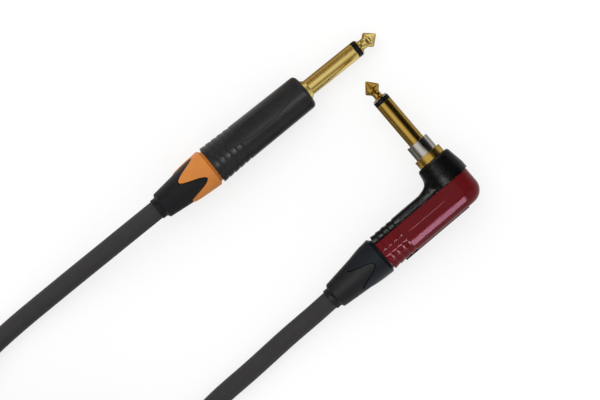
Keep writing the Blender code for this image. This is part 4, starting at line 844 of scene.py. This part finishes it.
add_turned("angled_sleeve", angled_sleeve_section(), CONTACT_SIDES, SHAFT, AMBER_GOLD_PAINTED_SHADE)
add_turned("angled_collar", collar_section(), MUTE_SIDES, SHAFT, AMBER_GOLD_PAINTED_SHADE)
add_turned("mute_sleeve", mute_section(), MUTE_SIDES, SHAFT, SILVER, MUTE)
make_contacts("angled", SHAFT, ANGLED_TIP_END, -0.002125, 0.001175, 0.00155, AMBER_GOLD_PAINTED_SHADE)
make_spring()

# ---- angled housing
HANDLE_CORNER = 0.0056
CORNER_CENTRE = HALF_WIDTH - HANDLE_CORNER
HOUSING_WALL = 0.0013
COVER_TOP = 0.004125
BODY_BOTTOM = 0.004275
HANDLE_RIBS = 4
RIB_STEP = 0.00045
RIB_SLOPE = 0.55
RIB_LEAN = 0.0005
RIBS_END = -HANDLE_LENGTH + HANDLE_RIBS * RIB_PITCH
BODY_RIB_SHARE = 0.8
STATIONS_PER_RIB = 40
STATION_SPACING = 0.0008
CORNER_STEPS = 40
BAR_STEPS = 32
BAR_START = 0.02
STRIP_TOP = 0.0003
STRIP_BOTTOM = -0.0016
SCORE_HEIGHT = -0.0001
SCORE_REACH = (-0.0234, -0.0054)
SCORE_DEPTH = 0.00007
PANEL_REACH = (-0.0232, -0.0095)
PANEL_LEAN = (radians(26.0), radians(45.0))
PANEL_DEPTH = 0.00016
PANEL_EDGE = 0.0003
PANEL_RUN_OUT = 0.004
POST_RADIUS = 0.00815
POST_EDGE = 0.0010
POST_TAPER, TAPER_START = 0.17, 0.0070
POST_SIDES = 160
FLARE_REACH = 0.0046
FLARE_FALL = 0.0008
CAP_STEPS = 48
CHANNEL_RADIUS = 0.00615
CHANNEL_LENGTH = 0.0119
COLLAR_SEAT = 0.0047
OVERCUT = 0.001


def rib_depth(x):
    """Depth of the stepped ribs: a slope down from each crest, then a rise to the next."""
    along = (RIBS_END - x) / RIB_PITCH
    if along <= 0.0 or along >= HANDLE_RIBS:
        return 0.0
    share = along % 1.0
    return min(RIB_STEP * (1.0 - share) ** 0.8, RIB_SLOPE * share * RIB_PITCH)


def row_depth(v):
    """The most that the ribs may sink at a height on the cover's side: none at the strip."""
    return RIB_SLOPE * max(0.0, v - STRIP_TOP, STRIP_BOTTOM - v)


def handle_stations():
    """Places along the handle: fine over the ribs, then even to the corner."""
    ribs = spaced(-HANDLE_LENGTH, RIBS_END + RIB_LEAN, STATIONS_PER_RIB * HANDLE_RIBS)
    return ribs + spaced(ribs[-1], 0.0, ceil(-ribs[-1] / STATION_SPACING))[1:]


COVER_ROWS = ([COVER_TOP - 0.0004 - 0.00036 * k for k in range(8)]
              + [STRIP_TOP + 0.0001 * k for k in range(7, -1, -1)]
              + [SCORE_HEIGHT + 0.00012, SCORE_HEIGHT, SCORE_HEIGHT - 0.00012, -0.0006, -0.0011]
              + [STRIP_BOTTOM, STRIP_BOTTOM - 0.0001, STRIP_BOTTOM - 0.0002])
COVER_LEANS = [radians(t) for t in spaced(0.0, 90.0, CORNER_STEPS)[1:-1]]


def cover_half_section(x):
    """Half of the cover's outer section, from the rim to the middle: (half width, height)."""
    sink = rib_depth(x)
    scored = SCORE_DEPTH if SCORE_REACH[0] <= x <= SCORE_REACH[1] else 0.0
    side = HALF_WIDTH - sink
    half = [(side - 0.0002, COVER_TOP), (side - 0.00005, COVER_TOP - 0.00006),
            (side, COVER_TOP - 0.0002)]
    for v in COVER_ROWS:
        line = scored if abs(v - SCORE_HEIGHT) < 1e-6 else 0.0
        half.append((HALF_WIDTH - min(sink, row_depth(v)) - line, v))
    for lean in COVER_LEANS:
        v = -CORNER_CENTRE - HANDLE_CORNER * sin(lean)
        low = min(1.0, (STRIP_BOTTOM - v) / (HALF_WIDTH + STRIP_BOTTOM))
        radius = HANDLE_CORNER - min(rib_depth(x - RIB_LEAN * low ** 1.5), row_depth(v))
        half.append((CORNER_CENTRE + radius * cos(lean),
                     -CORNER_CENTRE - radius * sin(lean)))
    return half + [(0.0, -HALF_WIDTH + rib_depth(x - RIB_LEAN))]


def cavity_half_section(_):
    """Half of the cover's hollow, with as many points as the outer section."""
    inner, corner = HALF_WIDTH - HOUSING_WALL, HANDLE_CORNER - HOUSING_WALL
    flat = 3 + len(COVER_ROWS)
    half = [(inner, COVER_TOP + (-CORNER_CENTRE - COVER_TOP) * k / flat) for k in range(flat)]
    half += [(CORNER_CENTRE + corner * cos(lean), -CORNER_CENTRE - corner * sin(lean))
             for lean in COVER_LEANS]
    return half + [(0.0, -inner)]


def trough_rows(mesh, half_section_at):
    """Rows of points along X to the shaft axis, then half round it. Each row runs rim to rim."""
    rows = []
    for x in handle_stations():
        half = half_section_at(x)
        left = [mesh.verts.new((x, y, w)) for w, y in half[:-1]]
        middle = mesh.verts.new((x, half[-1][1], 0.0))
        right = [mesh.verts.new((x, y, -w)) for w, y in half[:-1]]
        rows.append(left + [middle] + right[::-1])
    size = len(half) - 1
    cap = [rows[-1][:size]]
    for k in range(1, CAP_STEPS):
        angle = pi / 2 - pi * k / CAP_STEPS
        cap.append([mesh.verts.new((w * cos(angle), y, w * sin(angle)))
                    for w, y in half[:-1]])
    cap.append(rows[-1][:size:-1])
    return rows, cap, rows[-1][size]


def make_cover():
    """The glossy lower shell, hollow, ribbed along its rear."""
    mesh = bmesh.new()
    rims = []
    for half_section_at in (cover_half_section, cavity_half_section):
        rows, cap, pole = trough_rows(mesh, half_section_at)
        bridge(mesh, rows, cyclic=False)
        for row, following in zip(cap, cap[1:]):
            bridge(mesh, (row, following), cyclic=False)
            mesh.faces.new((row[-1], pole, following[-1]))
        rims.append(rows[0] + [row[-1] for row in rows[1:]] + [row[0] for row in cap[-2:0:-1]]
                    + [row[0] for row in rows[:0:-1]])
    bridge(mesh, rims)
    return add_piece("angled_cover_fine", closed_mesh("cover", mesh), ANGLED, RED, ROOT,
                     "angled_cover")


def handle_top(w):
    """Height of the handle's plain top at a distance across it."""
    over = max(0.0, abs(w) - CORNER_CENTRE)
    if over >= HANDLE_CORNER:
        return BODY_BOTTOM
    return CORNER_CENTRE + sqrt(HANDLE_CORNER**2 - over**2)


def make_handle_bar():
    """The handle's upper half, ribbed like the cover, with a shallow panel on each side."""
    mesh = bmesh.new()
    rows = []
    low = asin((BODY_BOTTOM - CORNER_CENTRE) / HANDLE_CORNER)
    for x in handle_stations():
        radius = HANDLE_CORNER - BODY_RIB_SHARE * rib_depth(x)
        half = [(CORNER_CENTRE + radius * cos(low) - 0.00008, BODY_BOTTOM)]
        along = min((x - PANEL_REACH[0]) / PANEL_EDGE, (PANEL_REACH[1] - x) / PANEL_RUN_OUT)
        for lean in spaced(low + BAR_START, pi / 2, BAR_STEPS):
            across = min(lean - PANEL_LEAN[0], PANEL_LEAN[1] - lean) * HANDLE_CORNER / PANEL_EDGE
            sunk = radius - PANEL_DEPTH * smooth_step(along) * smooth_step(across)
            half.append((CORNER_CENTRE + sunk * cos(lean),
                         CORNER_CENTRE + sunk * sin(lean)))
        half.append((CORNER_CENTRE / 2, CORNER_CENTRE + radius))
        left = [mesh.verts.new((x, y, w)) for w, y in half]
        right = [mesh.verts.new((x, y, -w)) for w, y in half]
        rows.append(left + right[::-1])
    capped(mesh, rows)
    return closed_mesh("body", mesh)


def post_radius(height):
    """The post's radius away from the flare."""
    edge = max(0.0, height - (POST_HEIGHT - POST_EDGE))
    plain = POST_RADIUS - POST_TAPER * max(0.0, height - TAPER_START)
    return plain - POST_EDGE + sqrt(max(0.0, POST_EDGE**2 - edge**2))


def make_post():
    """The round post, with a concave flare that lands on the handle."""
    mesh = bmesh.new()
    heights = [BODY_BOTTOM + 0.0004 * k for k in range(23)]
    heights += [POST_HEIGHT - POST_EDGE + POST_EDGE * sin(radians(9 * k))
                for k in range(11)]
    rings = []
    for height in heights:
        ring = []
        for angle in even_turn(POST_SIDES):
            reach = FLARE_REACH * max(0.0, -cos(angle)) ** 4
            foot = handle_top((POST_RADIUS + reach) * sin(angle))
            flare = reach * exp(-max(0.0, height - foot) / FLARE_FALL)
            radius = post_radius(height) + flare
            ring.append(mesh.verts.new((radius * cos(angle), height,
                                        radius * sin(angle))))
        rings.append(ring)
    capped(mesh, rings)
    return closed_mesh("post", mesh)


def make_body():
    """The black upper half of the housing, with its bores."""
    body = place_object("angled_body_fine", make_handle_bar(), ANGLED)
    combine(body, make_post(), ANGLED, "UNION")
    channel = turned_mesh("channel", faces(
        (-HANDLE_LENGTH - OVERCUT, 0.0, CHANNEL_RADIUS),
        (-HANDLE_LENGTH + CHANNEL_LENGTH, CHANNEL_RADIUS, 0.0),
    ), 64)
    combine(body, channel, ANGLED @ turned(90.0, "Y"), "DIFFERENCE")
    seat = POST_HEIGHT - COLLAR_SEAT - SEAT_GAP
    bore = turned_mesh("shaft_bore", faces(
        (POST_HEIGHT + OVERCUT, 0.0, COLLAR_NECK_RADIUS + FIT),
        (seat, COLLAR_NECK_RADIUS + FIT, MUTE_RADIUS + 2 * FIT),
        (SPRING_SEAT, MUTE_RADIUS + 2 * FIT, PLUG_RADIUS + FIT),
        (BODY_BOTTOM - OVERCUT, PLUG_RADIUS + FIT, 0.0),
    ), 96)
    combine(body, bore, SHAFT, "DIFFERENCE")
    return settle(body, BODY_BLACK, ROOT, "angled_body")


COVER, BODY = make_cover(), make_body()

# ---- floor and world
WHITE = (1.0, 1.0, 1.0)
FLOOR_HALF = 3.0
FLOOR_HEIGHT = -0.00002
FLOOR_OWN_SHARE = 0.72
WORLD_SEEN, WORLD_LIGHT = 1.0, 0.86


def seen_factor(tree):
    """1 for camera, glossy and transmission rays, and 0 for light."""
    path = tree.nodes.new("ShaderNodeLightPath")
    factor = path.outputs["Is Camera Ray"]
    for ray in ("Is Glossy Ray", "Is Transmission Ray"):
        either = tree.nodes.new("ShaderNodeMath")
        either.operation = "MAXIMUM"
        tree.links.new(factor, either.inputs[0])
        tree.links.new(path.outputs[ray], either.inputs[1])
        factor = either.outputs[0]
    return factor


def mix_shaders(tree, factor, first, second, out):
    """Leads a mix of two shaders to an output: the first at factor 0, the second at 1."""
    mix = tree.nodes.new("ShaderNodeMixShader")
    tree.links.new(factor, mix.inputs["Fac"])
    tree.links.new(first.outputs[0], mix.inputs[1])
    tree.links.new(second.outputs[0], mix.inputs[2])
    tree.links.new(mix.outputs[0], out.inputs["Surface"])


def make_world():
    """White to the camera and in reflections, dimmer as a light."""
    made = bpy.data.worlds.new("studio")
    made.use_nodes = True
    tree = made.node_tree
    tree.nodes.clear()
    shades = [fill(tree.nodes.new("ShaderNodeBackground"),
                   {"Color": (*WHITE, 1.0), "Strength": strength})
              for strength in (WORLD_LIGHT, WORLD_SEEN)]
    mix_shaders(tree, seen_factor(tree), *shades, tree.nodes.new("ShaderNodeOutputWorld"))
    return made


def matt(name, shade, roughness):
    """A material without gloss, with its node tree and its shader."""
    made = bpy.data.materials.new(name)
    made.use_nodes = True
    shader = fill(made.node_tree.nodes["Principled BSDF"],
                  {"Base Color": (*shade, 1.0), "Roughness": roughness, "Specular IOR Level": 0.0})
    return made, made.node_tree, shader


def floor_finish():
    """White. It shows its own plain white for a share, and the light and shadow for the rest."""
    made, tree, shader = matt("floor", WHITE, 0.9)
    share = tree.nodes.new("ShaderNodeMath")
    share.operation = "MULTIPLY"
    share.inputs[1].default_value = FLOOR_OWN_SHARE
    tree.links.new(seen_factor(tree), share.inputs[0])
    mix_shaders(tree, share.outputs[0], shader, tree.nodes.new("ShaderNodeEmission"),
                tree.nodes["Material Output"])
    return made


bpy.context.scene.world = make_world()
grid_mesh = bmesh.new()
bmesh.ops.create_grid(grid_mesh, x_segments=1, y_segments=1, size=FLOOR_HALF)
floor = place_object("floor", mesh_data("floor", grid_mesh),
                     Matrix.Translation((0.0, 0.0, FLOOR_HEIGHT)))
floor.data.materials.append(floor_finish())

# ---- lamps
KEY_PLACE = Vector((-0.55, 0.65, 1.35))
KEY_SIZE = 1.5
KEY_RADIANCE = 1.15
STRIP_DISTANCE = 0.6
PINK = (1.0, 0.60, 0.85)


def direction(azimuth, zenith):
    """The direction at an azimuth and an angle from straight overhead, in degrees."""
    turn, lean = radians(azimuth), radians(zenith)
    return Vector((cos(turn) * sin(lean), sin(turn) * sin(lean), cos(lean)))


def lamp(name, place, width, height, radiance):
    """A soft rectangular lamp that shines along its own -Z."""
    data = bpy.data.lights.new(name, "AREA")
    data.shape = "RECTANGLE"
    data.size, data.size_y = width, height
    data.energy = radiance * pi * width * height
    return place_object(name, data, place)


def strip(name, piece, azimuth, zenith, width, height, radiance):
    """A small lamp that only shows as a highlight on the piece it is meant for."""
    out, side = direction(azimuth, zenith), direction(azimuth + 90.0, 90.0)
    facing = Matrix((side, out.cross(side), out)).transposed().to_4x4()
    place = Matrix.Translation(piece.matrix_world.translation + out * STRIP_DISTANCE) @ facing
    made = lamp(name, place, width, height, radiance)
    made.visible_diffuse = False
    lit = bpy.data.collections.new(f"{name}_pieces")
    lit.objects.link(piece)
    made.light_linking.receiver_collection = lit
    return made


key_facing = (-KEY_PLACE).to_track_quat("-Z", "Y").to_matrix().to_4x4()
key = lamp("key", Matrix.Translation(KEY_PLACE) @ key_facing, KEY_SIZE, KEY_SIZE, KEY_RADIANCE)
key.visible_glossy = False
strip("strip_front", COVER, 299, 55, 0.22, 0.44, 36).data.color = PINK
strip("strip_side", COVER, 250, 62, 0.18, 0.40, 30)
strip("strip_back", COVER, 148, 61, 0.16, 0.18, 50)
strip("strip_post", BODY, 220.4, 24, 0.30, 0.26, 10)
strip("strip_edge", BODY, 130.4, 80, 0.50, 0.14, 14)
strip("strip_boot", ANGLED_BOOT, 128.9, 8, 0.34, 0.20, 13)
strip("strip_shell", SHELL, 3, 26.5, 0.13, 0.13, 24)

# ---- cards for the gold shafts
BROWN = (0.24, 0.165, 0.08)
DARK = (0.020, 0.020, 0.020)
GREY = (0.16, 0.14, 0.13)
FLAG_DISTANCE = 0.9
FLAG_EDGE = 0.45
FLAG_ROWS, FLAG_COLUMNS = 32, 16
CARD_COLUMNS = 24
CARD_RAMP = 0.004
ACROSS = (Matrix.Translation((STRAIGHT.translation.x, STRAIGHT.translation.y, 0.0))
          @ turned(-51.1, "Z"))


def card_sheet(name, rows, shares, shade):
    """A card that only shows in reflections, from clear (share 0) to solid (1) by point."""
    mesh = bmesh.new()
    grid = [[mesh.verts.new(point) for point in row] for row in rows]
    bridge(mesh, grid, cyclic=False)
    data = mesh_data(name, mesh)
    solid = data.attributes.new("solid", "FLOAT", "POINT")
    solid.data.foreach_set("value", [share for row in shares for share in row])
    made, tree, shader = matt(name, shade, 1.0)
    read = tree.nodes.new("ShaderNodeAttribute")
    read.attribute_name = "solid"
    mix_shaders(tree, read.outputs["Fac"], tree.nodes.new("ShaderNodeBsdfTransparent"), shader,
                tree.nodes["Material Output"])
    data.materials.append(made)
    card = place_object(name, data, Matrix())
    card.visible_camera = card.visible_diffuse = card.visible_shadow = False


def between(stops, value):
    """The share at a value, from stops of (value, share)."""
    for (low, first), (high, second) in zip(stops, stops[1:]):
        if value <= high:
            part = max(0.0, (value - low) / (high - low))
            return first + (second - first) * smooth_step(part)
    return stops[-1][1]


def flag(name, azimuth, width, shade, stops):
    """A large card whose share changes with the angle from straight overhead."""
    side = direction(azimuth + 90.0, 90.0) * width / 2
    columns = spaced(-1.0, 1.0, FLAG_COLUMNS)
    rows, shares = [], []
    for angle in spaced(stops[0][0], stops[-1][0], FLAG_ROWS):
        middle = direction(azimuth, angle) * FLAG_DISTANCE
        rows.append([middle + side * column for column in columns])
        shares.append([between(stops, angle) * smooth_step((1.0 - abs(column)) / FLAG_EDGE)
                       for column in columns])
    card_sheet(name, rows, shares, shade)


def low_card(name, place, shade, height, ys, xs):
    """A flat card near a shaft; ys are its ends, and xs stops of (place, share) across it."""
    start, end = ys
    columns = spaced(xs[0][0], xs[-1][0], CARD_COLUMNS)
    lengths = [start, start + CARD_RAMP / 2, start + CARD_RAMP,
               end - CARD_RAMP, end - CARD_RAMP / 2, end]
    rows = [[(*(place @ Vector((x, y, 0.0))).xy, height) for x in columns] for y in lengths]
    shares = [[between(xs, x) * min(1.0, (y - start) / CARD_RAMP, (end - y) / CARD_RAMP)
               for x in columns] for y in lengths]
    card_sheet(name, rows, shares, shade)


flag("flag_right", 40.4, 1.3, DARK,
     ((11, 0), (20, 0.90), (36, 1), (66, 1), (80, 0.84), (90, 0.55)))
flag("flag_side", 220.4, 1.3, GREY, ((40, 0), (56, 0.80), (66, 1), (90, 1)))
flag("flag_front", 308.9, 1.1, BROWN,
     ((10, 0), (25, 0.45), (37, 0.98), (50, 0.98), (64, 0.50), (80, 0.15),
      (90, 0.10)))
flag("flag_left", 128.9, 1.1, BROWN,
     ((12, 0), (24, 0.45), (37, 0.92), (50, 0.98), (64, 1), (78, 0.92),
      (90, 0.72)))
low_card("card_inner", ANGLED, GREY, 0.0004, (0.012, 0.052),
         ((-0.110, 0), (-0.080, 1), (-0.010, 1), (-0.004, 0.3)))
low_card("card_outer", ANGLED, GREY, 0.0004, (0.012, 0.060),
         ((0.004, 0.10), (0.010, 0.55), (0.040, 0.70), (0.090, 0)))
low_card("card_left", ACROSS, BROWN, 0.0003, (-0.004, 0.044),
         ((-0.100, 0), (-0.060, 0.40), (-0.010, 0.40), (-0.004, 0.20)))
low_card("card_tip", ANGLED, BROWN, 0.0005, (0.054, 0.240),
         ((-0.040, 0), (-0.012, 0.9), (0.012, 0.9), (0.030, 0)))
low_card("card_over", ANGLED, DARK, 0.0165, (0.016, 0.054),
         ((-0.0012, 0), (0, 0.50), (0.0011, 0.90), (0.0022, 1), (0.0035, 1),
          (0.0046, 0)))

bpy.context.scene.view_settings.view_transform = "Standard"
